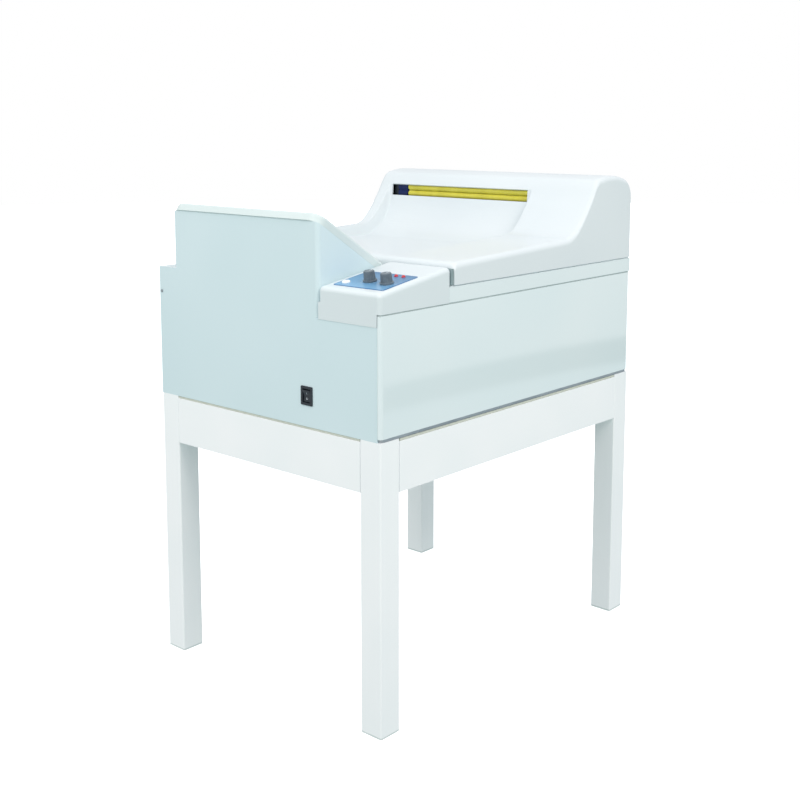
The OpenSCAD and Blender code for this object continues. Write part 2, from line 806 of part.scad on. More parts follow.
module switch_rocker() {
    w = switch_hole_w - 4;
    h = switch_hole_h - 6;
    pin_l = switch_hole_w - 1;
    rocker_d = 9;
    rocker_out = 5.5;
    dish = 1.5;
    color(plastic_black) {
        translate([switch_x, rocker_y, switch_z]) rotate([rocker_tilt, 0, 0]) difference() {
            translate([-w / 2, -rocker_out, -h / 2]) cube([w, rocker_d, h]);
            translate([-w / 2 - cut, -h - rocker_out + dish, 0]) rotate([0, 90, 0])
                cylinder(r = h, h = w + 2 * cut);
        }
        rod_x(rocker_pin_r, switch_x - pin_l / 2, switch_x + pin_l / 2, rocker_y, switch_z);
    }
}

// Tanks and racks
module tank_block() {
    color(tank_grey) difference() {
        box([tank_x0 - tank_wall, rack_y[0] - rack_pitch / 2 - tank_wall / 2, pan_z],
            [tank_x1 + tank_wall, rack_y[2] + rack_pitch / 2 + tank_wall / 2, tank_top_z]);
        for (y = rack_y) {
            box([tank_x0, y - tank_len / 2, tank_floor_z], [tank_x1, y + tank_len / 2, tank_top_z + cut]);
            translate([film_x, y, pan_z - cut]) cylinder(r = drain_r, h = tank_wall + 2 * cut);
        }
    }
}
module drain_spigots() {
    color(plastic_black) for (y = rack_y) translate([film_x, y, 0]) difference() {
        union() {
            translate([0, 0, stand_h]) cylinder(r = spigot_flange_r, h = pan_t);
            translate([0, 0, pan_z - spigot_l]) cylinder(r = spigot_r, h = spigot_l);
        }
        translate([0, 0, pan_z - spigot_l - cut]) cylinder(r = drain_r, h = spigot_l + 2 * cut);
    }
}
module rack_plate_outline(y, entry) {
    foot = tank_floor_z;
    difference() {
        union() {
            translate([y - rack_half, foot]) square([2 * rack_half, rack_top_z + rack_top_cap - foot]);
            translate([y, rack_top_z - roller_r]) square([rack_arm, roller_r + crossover_dz]);
            intersection() {
                translate([y + crossover_dy, crossover_z]) circle(guide_r + guide_t);
                translate([y, crossover_z - 1]) square([rack_arm, 2 * roller_r]);
            }
            if (entry) entry_ear();
        }
        for (p = [[y, rack_top_z], [y, rack_bottom_z], [y + crossover_dy, crossover_z]])
            translate(p) circle(shaft_r + run_gap);
        if (entry)
            for (p = [[entry_y, entry_z], [entry_upper_y, entry_upper_z]])
                translate(p) circle(shaft_r + run_gap);
    }
}
module entry_ear() {
    ear_r = shaft_r + 7;
    foot_z = rack_top_z + rack_top_cap - 1;
    for (p = [[entry_y, entry_z], [entry_upper_y, entry_upper_z]])
        translate(p) circle(ear_r);
    polygon([
        [entry_y - ear_r, foot_z], [entry_y - ear_r, entry_z],
        [entry_upper_y - ear_r * cos(tray_tilt), entry_upper_z + ear_r * sin(tray_tilt)],
        [entry_upper_y + ear_r, entry_upper_z], [entry_upper_y + ear_r, foot_z]
    ]);
}
module guide_shell(y, z) {
    along_x(plate_x0, plate_x1 + plate_t - plate_x0) translate([y, z]) difference() {
        circle(guide_r + guide_t);
        circle(guide_r);
    }
}
module rack(y, entry) {
    color(tank_grey) {
        for (x = [plate_x0, plate_x1])
            along_x(x, plate_t) rack_plate_outline(y, entry);
        intersection() {
            guide_shell(y, rack_bottom_z);
            box([plate_x0, y - rack_half, tank_floor_z],
                [plate_x1 + plate_t, y + rack_half, rack_bottom_z]);
        }
        intersection() {
            guide_shell(y + crossover_dy, crossover_z);
            box([plate_x0, y, crossover_z], [plate_x1 + plate_t, y + rack_arm, cover_z]);
        }
        for (lift = [0.4, 0.6])
            rod_x(tie_r, plate_x0, plate_x1 + plate_t, y, mix(rack_bottom_z, rack_top_z, lift));
    }
}

// Rollers, each one piece with its shaft, gear and pulleys
gear_bearing = atan2(crossover_dz, crossover_dy);
function crossover_phase(top_phase) = mesh_phase(top_phase, gear_bearing, gear_teeth, gear_teeth);
function next_top_phase(phase) = mesh_phase(phase, -gear_bearing, gear_teeth, gear_teeth);
top_phase_1 = 0;
cross_phase_1 = crossover_phase(top_phase_1);
top_phase_2 = next_top_phase(cross_phase_1);
cross_phase_2 = crossover_phase(top_phase_2);
top_phase_3 = next_top_phase(cross_phase_2);
cross_phase_3 = crossover_phase(top_phase_3);
entry_phase = mesh_phase(top_phase_1, entry_angle, gear_teeth, entry_teeth);
module roller_body(r, y, z, x0) {
    color(rubber_grey) {
        rod_x(r, roller_x0, roller_x1, y, z);
        rod_x(shaft_r, x0, shaft_x1, y, z);
    }
}
module roller_gear(y, z, teeth, phase) {
    color(gear_blue) along_x(gear_x, gear_w) translate([y, z]) gear_outline(teeth, gear_module, phase);
}
module pulley(x0, y, z) {
    color(plastic_black) rod_x(pulley_r, x0, x0 + belt_w, y, z);
}
module top_roller(y, phase, outer_pulley) {
    roller_body(roller_r, y, rack_top_z, outer_pulley ? drive_x - shaft_stub : gear_x - shaft_stub);
    roller_gear(y, rack_top_z, gear_teeth, phase);
    pulley(belt_x, y, rack_top_z);
    if (outer_pulley) pulley(drive_x, y, rack_top_z);
}
module bottom_roller(y) {
    roller_body(roller_r, y, rack_bottom_z, belt_x - shaft_stub);
    pulley(belt_x, y, rack_bottom_z);
}
module crossover_roller(y, phase) {
    roller_body(roller_r, y + crossover_dy, crossover_z, gear_x - shaft_stub);
    roller_gear(y + crossover_dy, crossover_z, gear_teeth, phase);
}
module entry_roller_lower() {
    roller_body(entry_r, entry_y, entry_z, gear_x - shaft_stub);
    roller_gear(entry_y, entry_z, entry_teeth, entry_phase);
}
module entry_roller_upper() {
    roller_body(entry_r, entry_upper_y, entry_upper_z, plate_x0 - 2 * shaft_stub);
}
module dryer_roller_lower() {
    roller_body(roller_r, dryer_y, dryer_lower_z, drive_x - shaft_stub);
    pulley(belt_x, dryer_y, dryer_lower_z);
    pulley(drive_x, dryer_y, dryer_lower_z);
}
module dryer_roller_upper() {
    roller_body(roller_r, dryer_y, dryer_upper_z, belt_x - shaft_stub);
    pulley(belt_x, dryer_y, dryer_upper_z);
}
module drive_belts() {
    color(plastic_black) {
        for (y = rack_y)
            belt_loop(belt_x, [y, rack_bottom_z], [y, rack_top_z]);
        belt_loop(belt_x, [dryer_y, dryer_lower_z], [dryer_y, dryer_upper_z]);
        belt_loop(drive_x, [rack_y[2], rack_top_z], [dryer_y, dryer_lower_z]);
        belt_loop(drive_x, [motor_y, motor_z], [rack_y[0], rack_top_z]);
    }
}

// Dryer
tube_zs = [mix(dryer_lower_z, dryer_upper_z, 0.36), mix(dryer_lower_z, dryer_upper_z, 0.64)];
module dryer_frame() {
    tube_x1 = plate_x1 + plate_t;
    slit = 3;
    plate_top = dryer_upper_z + roller_r - 8;
    color(steel_grey) difference() {
        union() {
            for (x = [plate_x0, plate_x1])
                box([x, dryer_y - dryer_half, pan_z], [x + plate_t, dryer_y + dryer_half, plate_top]);
            for (z = tube_zs)
                rod_x(air_tube_r, plate_x0, tube_x1, dryer_y, z);
        }
        for (z = [dryer_lower_z, dryer_upper_z])
            rod_x(shaft_r + run_gap, plate_x0 - cut, tube_x1 + cut, dryer_y, z);
        for (z = tube_zs) {
            rod_x(air_tube_r - 2, plate_x0 + plate_t, tube_x1 + cut, dryer_y, z);
            box([roller_x0, dryer_y, z - slit / 2], [roller_x1, dryer_y + air_tube_r + cut, z + slit / 2]);
        }
    }
}
fan_motor_r = 20;
fan_motor_l = 22;
module blower_housing() {
    t = blower_wall;
    x1 = blower_x0 + blower_l;
    duct_top = dryer_upper_z - roller_r - t;
    duct_h = 60;
    foot_half = 45;
    spoke = 5;
    color(steel_grey) difference() {
        union() {
            difference() {
                union() {
                    rod_x(blower_r, blower_x0, x1, blower_y, blower_z);
                    box([blower_x0, blower_y - foot_half, pan_z], [x1, blower_y + foot_half, blower_z]);
                    box([duct_x0, dryer_y - duct_half, blower_z],
                        [duct_x0 + duct_w, dryer_y + duct_half, duct_top]);
                    box([duct_x0, dryer_y - duct_half, blower_z],
                        [x1, dryer_y + duct_half, blower_z + duct_h]);
                }
                rod_x(blower_r - t, blower_x0 + t, x1 - t, blower_y, blower_z);
                rod_x(blower_inlet_r, blower_x0 + blower_l / 2, x1 + cut, blower_y, blower_z);
                box([duct_x0 + t, dryer_y - duct_half + t, blower_z + t],
                    [duct_x0 + duct_w - t, dryer_y + duct_half - t, duct_top - t]);
                box([duct_x0 + t, dryer_y - duct_half + t, blower_z + t],
                    [x1 - t, dryer_y + duct_half - t, blower_z + duct_h - t]);
                rod_x(shaft_r + cut, duct_x0 - cut, duct_x0 + duct_w / 2, dryer_y, dryer_lower_z);
                for (z = tube_zs)
                    rod_x(air_tube_r - 2, duct_x0 - cut, duct_x0 + duct_w / 2, dryer_y, z);
            }
            rod_x(fan_motor_r, x1 - fan_motor_l, x1, blower_y, blower_z);
            for (k = [0 : 2])
                translate([0, blower_y, blower_z]) rotate([k * 120, 0, 0])
                    box([x1 - blower_wall, 0, -spoke / 2], [x1, blower_inlet_r + 2, spoke / 2]);
        }
        rod_x(fan_shaft_r + run_gap, blower_x0 - cut, x1 - blower_wall, blower_y, blower_z);
    }
}
module blower_wheel() {
    x0 = blower_x0 + blower_wall + 4;
    x1 = blower_x0 + blower_l - blower_wall - 4;
    disc_t = 3;
    blade = 10;
    color(plastic_black) {
        rod_x(wheel_r, x0, x0 + disc_t, blower_y, blower_z);
        rod_x(fan_shaft_r, blower_x0, blower_x0 + blower_l - fan_motor_l / 2, blower_y, blower_z);
        rod_x(3 * fan_shaft_r, x0, x0 + 14, blower_y, blower_z);
        along_x(x1 - disc_t, disc_t) translate([blower_y, blower_z]) difference() {
            circle(wheel_r);
            circle(wheel_r - blade);
        }
        for (k = [0 : wheel_blades - 1])
            translate([0, blower_y, blower_z]) rotate([k * 360 / wheel_blades, 0, 0])
                box([x0, wheel_r - blade, -1], [x1, wheel_r - 0.5, 1]);
    }
}

// Drive motor and circulation pump
module drive_motor() {
    x0 = belt_x - motor_face;
    half = motor_box / 2;
    color(steel_grey) difference() {
        union() {
            box([x0, motor_y - half, motor_z - half], [x0 + motor_box_l, motor_y + half, motor_z + half]);
            rod_x(motor_r, x0 + motor_box_l, x0 + motor_box_l + motor_can_l, motor_y, motor_z);
            box([x0, motor_y - half + 5, pan_z], [x0 + motor_box_l, motor_y + half - 5, motor_z]);
        }
        rod_x(shaft_r + run_gap, x0 - cut, x0 + motor_box_l / 2, motor_y, motor_z);
    }
}
module motor_pulley() {
    color(steel_grey) rod_x(shaft_r, drive_x - shaft_stub, belt_x + motor_face, motor_y, motor_z);
    pulley(drive_x, motor_y, motor_z);
}
module circulation_pump() {
    pump_x = tank_x1 + tank_wall + 60;
    pump_r = 34;
    pipe_r = 9;
    pump_h = 96;
    y = rack_y[0];
    z = tank_floor_z + 22;
    color(plastic_black) {
        translate([pump_x, y, pan_z]) cylinder(r = pump_r, h = 40);
        translate([pump_x, y, pan_z + 40]) cylinder(r = pump_r - 8, h = pump_h - 40);
        rod_x(pipe_r, tank_x1 + tank_wall, pump_x, y, z);
        box([pump_x - pump_r - 8, y - pump_r - 8, pan_z], [pump_x + pump_r + 8, y + pump_r + 8, pan_z + 4]);
    }
}
module power_inlet() {
    wall = 2;
    flange = 6;
    depth = 24;
    color(plastic_black) difference() {
        union() {
            box([inlet_x - inlet_w / 2 + run_gap, rear_y - depth, inlet_z - inlet_h / 2 + run_gap],
                [inlet_x + inlet_w / 2 - run_gap, rear_y + cut, inlet_z + inlet_h / 2 - run_gap]);
            along_y(rear_y, 2) translate([inlet_x, inlet_z])
                rounded_square(inlet_w + 2 * flange, inlet_h + flange, 3);
        }
        box([inlet_x - inlet_w / 2 + wall, rear_y - depth + wall, inlet_z - inlet_h / 2 + wall],
            [inlet_x + inlet_w / 2 - wall, rear_y + 2 * cut + wall, inlet_z + inlet_h / 2 - wall]);
    }
}

// Hinges
module knuckle(x0, x1) {
    rod_x(knuckle_r, x0, x1, hinge_y, hinge_z);
}
module hinge_leaves() {
    leaf_top = hinge_z - knuckle_r - 0.5;
    color(steel_grey) for (x = hinge_x) {
        translate([x - hinge_w / 2, rear_y, leaf_top - hinge_leaf_h])
            cube([hinge_w, hinge_leaf_t, hinge_leaf_h]);
        for (a = [x - hinge_w / 2, x + hinge_w / 2 - knuckle_w]) {
            knuckle(a, a + knuckle_w);
            box([a, rear_y + hinge_gap, leaf_top - 2], [a + knuckle_w, hinge_y, hinge_z]);
        }
        rod_x(hinge_pin_r, x - hinge_w / 2, x + hinge_w / 2, hinge_y, hinge_z);
    }
}
module cover_hinges() {
    leaf_base = hinge_z + knuckle_r + 1;
    color(steel_grey) for (x = hinge_x) difference() {
        union() {
            translate([x - hinge_w / 2, rear_y, leaf_base]) cube([hinge_w, hinge_leaf_t, hinge_leaf_h]);
            knuckle(x - hinge_w / 2 + knuckle_w + hinge_gap, x + hinge_w / 2 - knuckle_w - hinge_gap);
            box([x - hinge_w / 2 + knuckle_w + hinge_gap, rear_y + hinge_gap, hinge_z],
                [x + hinge_w / 2 - knuckle_w - hinge_gap, hinge_y, leaf_base + 2]);
        }
        rod_x(hinge_pin_r + run_gap, x - hinge_w / 2, x + hinge_w / 2, hinge_y, hinge_z);
    }
}

// Top cover: a moulded shell lofted over stations across the machine and rows along it
edge_steps = [0, 0.12, 0.42, 1];
wall_steps = [0, 0.25, 0.5, 0.75, 1];
cover_xs = concat(
    [for (s = edge_steps) -half_w + s * edge_r],
    [for (s = wall_steps) bay_x0 - bay_wall + s * bay_wall],
    [hopper_x0 - notch_gap - 1, hopper_x0 - notch_gap, film_x],
    [for (s = wall_steps) bay_x1 + s * bay_wall],
    [hopper_x1 + notch_gap, hopper_x1 + notch_gap + 1],
    [for (k = [3 : -1 : 0]) half_w - edge_steps[k] * edge_r]
);
arc_steps = [0, 0.3, 0.55, 0.74, 0.87, 0.95];
brow_y = mix(slot_lip_y, swell_y0 + swell_len, 0.75);
shoulder_y = mix(swell_y0 + swell_len, crown_y, 0.35);
cover_ys = concat(
    [for (s = edge_steps) cover_y0 + s * edge_r],
    [for (s = wall_steps) bay_front_y + s * bay_wall],
    [mix(bay_front_y, bay_curve_y, 0.55)],
    [for (s = arc_steps) mix(bay_curve_y, slot_y0, s)],
    [slot_y0, slot_y1, slot_lip_y],
    [for (s = [0.24, 0.53]) mix(slot_lip_y, brow_y, s)],
    [brow_y, shoulder_y, crown_y, mix(crown_y, rear_y - rear_r, 0.6)],
    [for (k = [3 : -1 : 0]) rear_y - edge_steps[k] * rear_r]
);
function bay_weight(x, y) =
    blend((x - bay_x0 + bay_wall) / bay_wall) * blend((bay_x1 + bay_wall - x) / bay_wall)
    * blend((y - bay_front_y) / bay_wall);
function outer_point(x, y) = [x, y,
    mix(crest_z(y) - edge_drop(half_w - abs(x), edge_r), bay_z(y), bay_weight(x, y))];
probe = 0.5;
function crest_slope(y) = (crest_z(y + probe) - crest_z(y - probe)) / (2 * probe);
function bay_slope(y) = (bay_z(y + probe) - bay_z(y - probe)) / (2 * probe);
function inward(slope) = cover_t / sqrt(1 + slope * slope) * [slope, -1];
function inner_x(x) =
    abs(x) > half_w - edge_r
        ? sign(x) * (half_w - edge_r + (abs(x) - half_w + edge_r) * (edge_r - cover_t) / edge_r) :
    x <= bay_x0 && x > bay_x0 - bay_wall - 1 ? x - cover_t :
    x >= bay_x1 && x < bay_x1 + bay_wall + 1 ? x + cover_t : x;
function inner_point(x, y) = let (
    w = bay_weight(x, y),
    xi = inner_x(x),
    drop = edge_drop(half_w - cover_t - abs(xi), edge_r - cover_t),
    ridge = [y, crest_z(y) - drop] + inward(crest_slope(y)),
    bay = [y, bay_z(y)] + inward(bay_slope(y)),
    p = mix(ridge, bay, w)
) [xi, p[0], p[1]];
function skirt_z(x, row) =
    row == 0 && x > hopper_x0 - notch_gap - 0.5 && x < hopper_x1 + notch_gap + 0.5 ? notch_z : cover_z;
module top_cover() {
    nx = len(cover_xs);
    ny = len(cover_ys);
    slot_row = search([slot_y0], cover_ys)[0];
    slot_i0 = search([bay_x0], cover_xs)[0];
    slot_i1 = search([bay_x1], cover_xs)[0];
    ring = concat(
        [for (i = [0 : nx - 2]) [i, 0]], [for (j = [0 : ny - 2]) [nx - 1, j]],
        [for (i = [nx - 1 : -1 : 1]) [i, ny - 1]], [for (j = [ny - 1 : -1 : 1]) [0, j]]
    );
    nr = len(ring);
    points = concat(
        [for (x = cover_xs, y = cover_ys) outer_point(x, y)],
        [for (x = cover_xs, y = cover_ys) inner_point(x, y)],
        [for (q = ring) let (p = outer_point(cover_xs[q[0]], cover_ys[q[1]]))
            [p[0], p[1], skirt_z(cover_xs[q[0]], q[1])]],
        [for (q = ring) let (p = inner_point(cover_xs[q[0]], cover_ys[q[1]]))
            [p[0], p[1], skirt_z(cover_xs[q[0]], q[1])]]
    );
    inner = nx * ny;
    foot = 2 * inner;
    inner_foot = foot + nr;
    function at(i, j) = i * ny + j;
    function in_slot(i, j) = j == slot_row && i >= slot_i0 && i < slot_i1;
    cells = [for (i = [0 : nx - 2], j = [0 : ny - 2]) if (!in_slot(i, j)) [i, j]];
    skin = [for (c = cells) let (i = c[0], j = c[1])
        [at(i, j), at(i, j + 1), at(i + 1, j + 1), at(i + 1, j)]];
    lining = [for (q = skin) [q[0] + inner, q[3] + inner, q[2] + inner, q[1] + inner]];
    slot_sill = [for (i = [slot_i0 : slot_i1 - 1]) let (a = at(i, slot_row), b = at(i + 1, slot_row))
        [b, a, a + inner, b + inner]];
    head_row = slot_row + 1;
    slot_head = [for (i = [slot_i0 : slot_i1 - 1]) let (a = at(i, head_row), b = at(i + 1, head_row))
        [a, b, b + inner, a + inner]];
    slot_ends = let (
        a = at(slot_i0, slot_row), b = at(slot_i0, slot_row + 1),
        c = at(slot_i1, slot_row), d = at(slot_i1, slot_row + 1)
    ) [[a, b, b + inner, a + inner], [d, c, c + inner, d + inner]];
    skirts = [for (k = [0 : nr - 1]) let (
        m = (k + 1) % nr, a = at(ring[k][0], ring[k][1]), b = at(ring[m][0], ring[m][1])
    ) each [
        [a, b, foot + m, foot + k],
        [b + inner, a + inner, inner_foot + k, inner_foot + m],
        [foot + k, foot + m, inner_foot + m, inner_foot + k]
    ]];
    quads = concat(skin, lining, slot_sill, slot_head, slot_ends, skirts);
    color(cover_white) polyhedron(
        points, [for (q = quads) each [[q[0], q[1], q[2]], [q[0], q[2], q[3]]]], convexity = 8
    );
}

// Exit rollers, carried by the cover: their bearing blocks hang from the lining behind the slot
seat_a = [brow_y, crest_z(brow_y)] + inward(crest_slope(brow_y));
seat_b = [shoulder_y, crest_z(shoulder_y)] + inward(crest_slope(shoulder_y));
hang_gap = 0.01;
function seat_z(y) = mix(seat_a[1], seat_b[1], (y - seat_a[0]) / (seat_b[0] - seat_a[0])) - hang_gap;
hanger_y0 = seat_a[0] + 1;
hanger_y1 = hanger_y0 + 12;
module exit_bearings() {
    half = exit_r + 6;
    color(plastic_black) for (x = [exit_block_x0, exit_block_x1])
        along_x(x, exit_block_w) difference() {
            union() {
                translate([exit_y - exit_r + 3, exit_z - exit_pitch / 2 - half / 2])
                    square([hanger_y1 - exit_y + exit_r - 3, exit_pitch + half]);
                polygon([
                    [hanger_y0, exit_z], [hanger_y1, exit_z],
                    [hanger_y1, seat_z(hanger_y1)], [hanger_y0, seat_z(hanger_y0)]
                ]);
            }
            for (s = [-1, 1])
                translate([exit_y, exit_z + s * exit_pitch / 2]) circle(exit_shaft_r + run_gap);
        }
}
module exit_roller(s, phase) {
    z = exit_z + s * exit_pitch / 2;
    gear_x0 = exit_block_x0 + exit_block_w + exit_side;
    color(roller_yellow) {
        rod_x(exit_r, roller_x0, roller_x1, exit_y, z);
        rod_x(exit_shaft_r, exit_block_x0 + shaft_stub, exit_block_x1 + exit_block_w - shaft_stub, exit_y, z);
    }
    color(gear_blue) along_x(gear_x0, exit_gear_w) translate([exit_y, z])
        gear_outline(exit_teeth, exit_pitch / exit_teeth, phase);
}

leg(-1, leg_front_y);  // leg_front_left
leg(1, leg_front_y);  // leg_front_right
leg(-1, leg_rear_y);  // leg_rear_left
leg(1, leg_rear_y);  // leg_rear_right
apron_across(front_y, 0);  // apron_front
apron_across(rear_y, 1);  // apron_rear
apron_along(-1);  // apron_left
apron_along(1);  // apron_right
leg_end_caps();
stand_bolts();
base_pan();
frame_posts();
end_panel();
rear_panel();
left_panel();
right_panel();
deck_frame();
feed_tray();
control_box();
control_overlay();
indicator_lamps();
control_board();
knob(knob_spots[0]);  // temperature_knob
knob(knob_spots[1]);  // speed_knob
start_button();
switch_bezel();
switch_rocker();
tank_block();
drain_spigots();
rack(rack_y[0], true);  // developer_rack
rack(rack_y[1], false);  // fixer_rack
rack(rack_y[2], false);  // wash_rack
top_roller(rack_y[0], top_phase_1, true);  // developer_top_roller
bottom_roller(rack_y[0]);  // developer_bottom_roller
top_roller(rack_y[1], top_phase_2, false);  // fixer_top_roller
bottom_roller(rack_y[1]);  // fixer_bottom_roller
top_roller(rack_y[2], top_phase_3, true);  // wash_top_roller
bottom_roller(rack_y[2]);  // wash_bottom_roller
crossover_roller(rack_y[0], cross_phase_1);  // developer_crossover
crossover_roller(rack_y[1], cross_phase_2);  // fixer_crossover
crossover_roller(rack_y[2], cross_phase_3);  // wash_crossover
entry_roller_lower();
entry_roller_upper();
dryer_frame();
dryer_roller_lower();
dryer_roller_upper();
drive_belts();
drive_motor();
motor_pulley();
blower_housing();
blower_wheel();
circulation_pump();
power_inlet();
hinge_leaves();
cover_hinges();
top_cover();
exit_bearings();
exit_roller(-1, 90);  // exit_roller_lower
exit_roller(1, mesh_phase(90, 90, exit_teeth, exit_teeth));  // exit_roller_upper
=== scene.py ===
"""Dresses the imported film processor, from its stand to its rollers, and sets a plain studio round it."""

import json
import logging
import math
from collections.abc import Callable, Iterator, Sequence
from contextlib import contextmanager
from dataclasses import dataclass, field
from enum import Enum

import bmesh
import bpy
from bpy.types import Material, Node, NodeTree, Object, World
from mathutils import Matrix, Vector

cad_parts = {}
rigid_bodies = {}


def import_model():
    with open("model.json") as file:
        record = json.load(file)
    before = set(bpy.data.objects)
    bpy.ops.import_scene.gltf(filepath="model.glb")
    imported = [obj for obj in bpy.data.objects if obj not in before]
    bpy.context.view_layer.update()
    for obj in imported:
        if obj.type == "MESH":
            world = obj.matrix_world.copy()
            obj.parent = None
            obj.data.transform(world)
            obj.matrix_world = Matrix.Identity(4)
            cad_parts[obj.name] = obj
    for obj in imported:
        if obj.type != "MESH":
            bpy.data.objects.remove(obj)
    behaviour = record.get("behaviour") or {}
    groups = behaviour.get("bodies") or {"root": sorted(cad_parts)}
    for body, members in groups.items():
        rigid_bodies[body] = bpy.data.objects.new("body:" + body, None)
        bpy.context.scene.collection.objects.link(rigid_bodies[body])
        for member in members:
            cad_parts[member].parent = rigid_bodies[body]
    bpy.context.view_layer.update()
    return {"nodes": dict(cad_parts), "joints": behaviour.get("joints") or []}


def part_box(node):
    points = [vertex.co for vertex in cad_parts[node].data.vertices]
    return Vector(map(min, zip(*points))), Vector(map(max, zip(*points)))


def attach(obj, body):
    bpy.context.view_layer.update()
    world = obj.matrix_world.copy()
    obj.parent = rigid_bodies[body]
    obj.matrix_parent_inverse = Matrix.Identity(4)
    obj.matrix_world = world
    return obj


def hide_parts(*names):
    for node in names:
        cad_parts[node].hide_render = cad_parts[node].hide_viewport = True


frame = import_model()
log = logging.getLogger("film_processor")

Source = tuple[Node, str]
Point = tuple[float, float, float]
Span = tuple[float, float]

MM = 0.001
FACING = 0.9
UP = Vector((0, 0, 1))
BACK = Vector((0, 1, 0))
WHITE = "#ffffff"
COAT_ROUGHNESS = 0.04
DRIFT_SPAN = (0.25, 0.75)
DRIFT_PER_GLOSS = 2.3
GLOW_SHARE = 0.6
GLOW_REACH = (1.0, 0.9, 0.4)
MERGE_MM = 0.02
FLAT_DEG = 0.4


@dataclass(frozen=True)
class Sizes:
    """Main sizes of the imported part, in millimetres."""

    half_w: float = 310.0
    front_y: float = -417.0
    rear_y: float = 414.0
    cover_y: float = -212.0
    stand_h: float = 557.0
    seam_z: float = 787.0
    deck_z: float = 819.0
    seam: float = 2.5


SIZE = Sizes()


class Body(Enum):
    """Bodies that pieces ride on; rollers and knobs ride on the body of their own name."""

    CABINET = "cabinet"
    COVER = "cover"
    START_BUTTON = "start_button"
    SWITCH_ROCKER = "switch_rocker"
    MOTOR_PULLEY = "motor_pulley"
    BLOWER_WHEEL = "blower_wheel"


class Slot(Enum):
    """Material slots of the record; each piece is given one, which the code does not read."""

    STAND = "stand_paint"
    PANEL = "panel_paint"
    SIDE = "side_paint"
    MOULDED = "moulded_white"
    BLACK = "black_plastic"
    KNOB = "knob_plastic"
    OVERLAY = "overlay_blue"
    LAMP = "lamp_red"
    BUTTON = "button_white"
    YELLOW = "roller_yellow"
    GREY = "roller_grey"
    TANK = "tank_grey"
    STEEL = "sheet_steel"
    BOARD = "board_green"
    BELT = "belt_black"
    CAP = "cap_rubber"


def linear(colour: str) -> tuple[float, float, float, float]:
    """Turns an sRGB colour, six hex digits after a hash sign, into linear light with full alpha."""
    parts = [int(colour[k:k + 2], 16) / 255 for k in (1, 3, 5)]
    light = [c / 12.92 if c <= 0.04045 else ((c + 0.055) / 1.055) ** 2.4 for c in parts]
    return (light[0], light[1], light[2], 1.0)


def add_node(tree: NodeTree, kind: str, settings: dict | None = None,
             links: dict | None = None) -> Node:
    """Adds one node with its settings and links.

    Args:
        tree: The node tree that gets the node.
        kind: The shader node's type name.
        settings: Properties of the node, or default values of its inputs.
        links: For an input, the node and output that feed it.

    Returns:
        The new node.
    """
    node = tree.nodes.new("ShaderNode" + kind)
    for key, value in (settings or {}).items():
        if isinstance(key, str) and hasattr(node, key):
            setattr(node, key, value)
        else:
            node.inputs[key].default_value = value
    for key, (source, output) in (links or {}).items():
        tree.links.new(source.outputs[output], node.inputs[key])
    return node


def empty_tree(owner: Material | World) -> NodeTree:
    """Switches a new material or world to nodes and gives its emptied tree."""
    owner.use_nodes = True
    owner.node_tree.nodes.clear()
    return owner.node_tree


def noise(tree: NodeTree, place: Source, size_mm: float, detail: float) -> Source:
    """Adds noise over coordinates, with patches of a real size."""
    settings = {"Scale": 1 / (size_mm * MM), "Detail": detail}
    return add_node(tree, "TexNoise", settings, {"Vector": place}), "Fac"


def spread(tree: NodeTree, value: Source, low: float, high: float, to: Span = (0.0, 1.0)) -> Source:
    """Maps the values from low to high to another range."""
    settings = {"From Min": low, "From Max": high, "To Min": to[0], "To Max": to[1]}
    return add_node(tree, "MapRange", settings, {"Value": value}), "Result"


def mix(tree: NodeTree, share: Source, first: str | Source, second: str | Source) -> Source:
    """Mixes two colours, each a hex colour or a node's output.

    Args:
        tree: The node tree.
        share: Where the second colour's share comes from.
        first: The first colour.
        second: The second colour.

    Returns:
        Where the mixed colour comes from.
    """
    settings: dict = {"data_type": "RGBA"}
    links: dict = {0: share}
    for key, colour in ((6, first), (7, second)):
        if isinstance(colour, str):
            settings[key] = linear(colour)
        else:
            links[key] = colour
    return add_node(tree, "Mix", settings, links), "Result"


def bump(tree: NodeTree, height: Source, depth_mm: float) -> Node:
    """Raises a pattern as a bump of a real depth."""
    return add_node(tree, "Bump", {"Strength": 1.0, "Distance": depth_mm * MM}, {"Height": height})


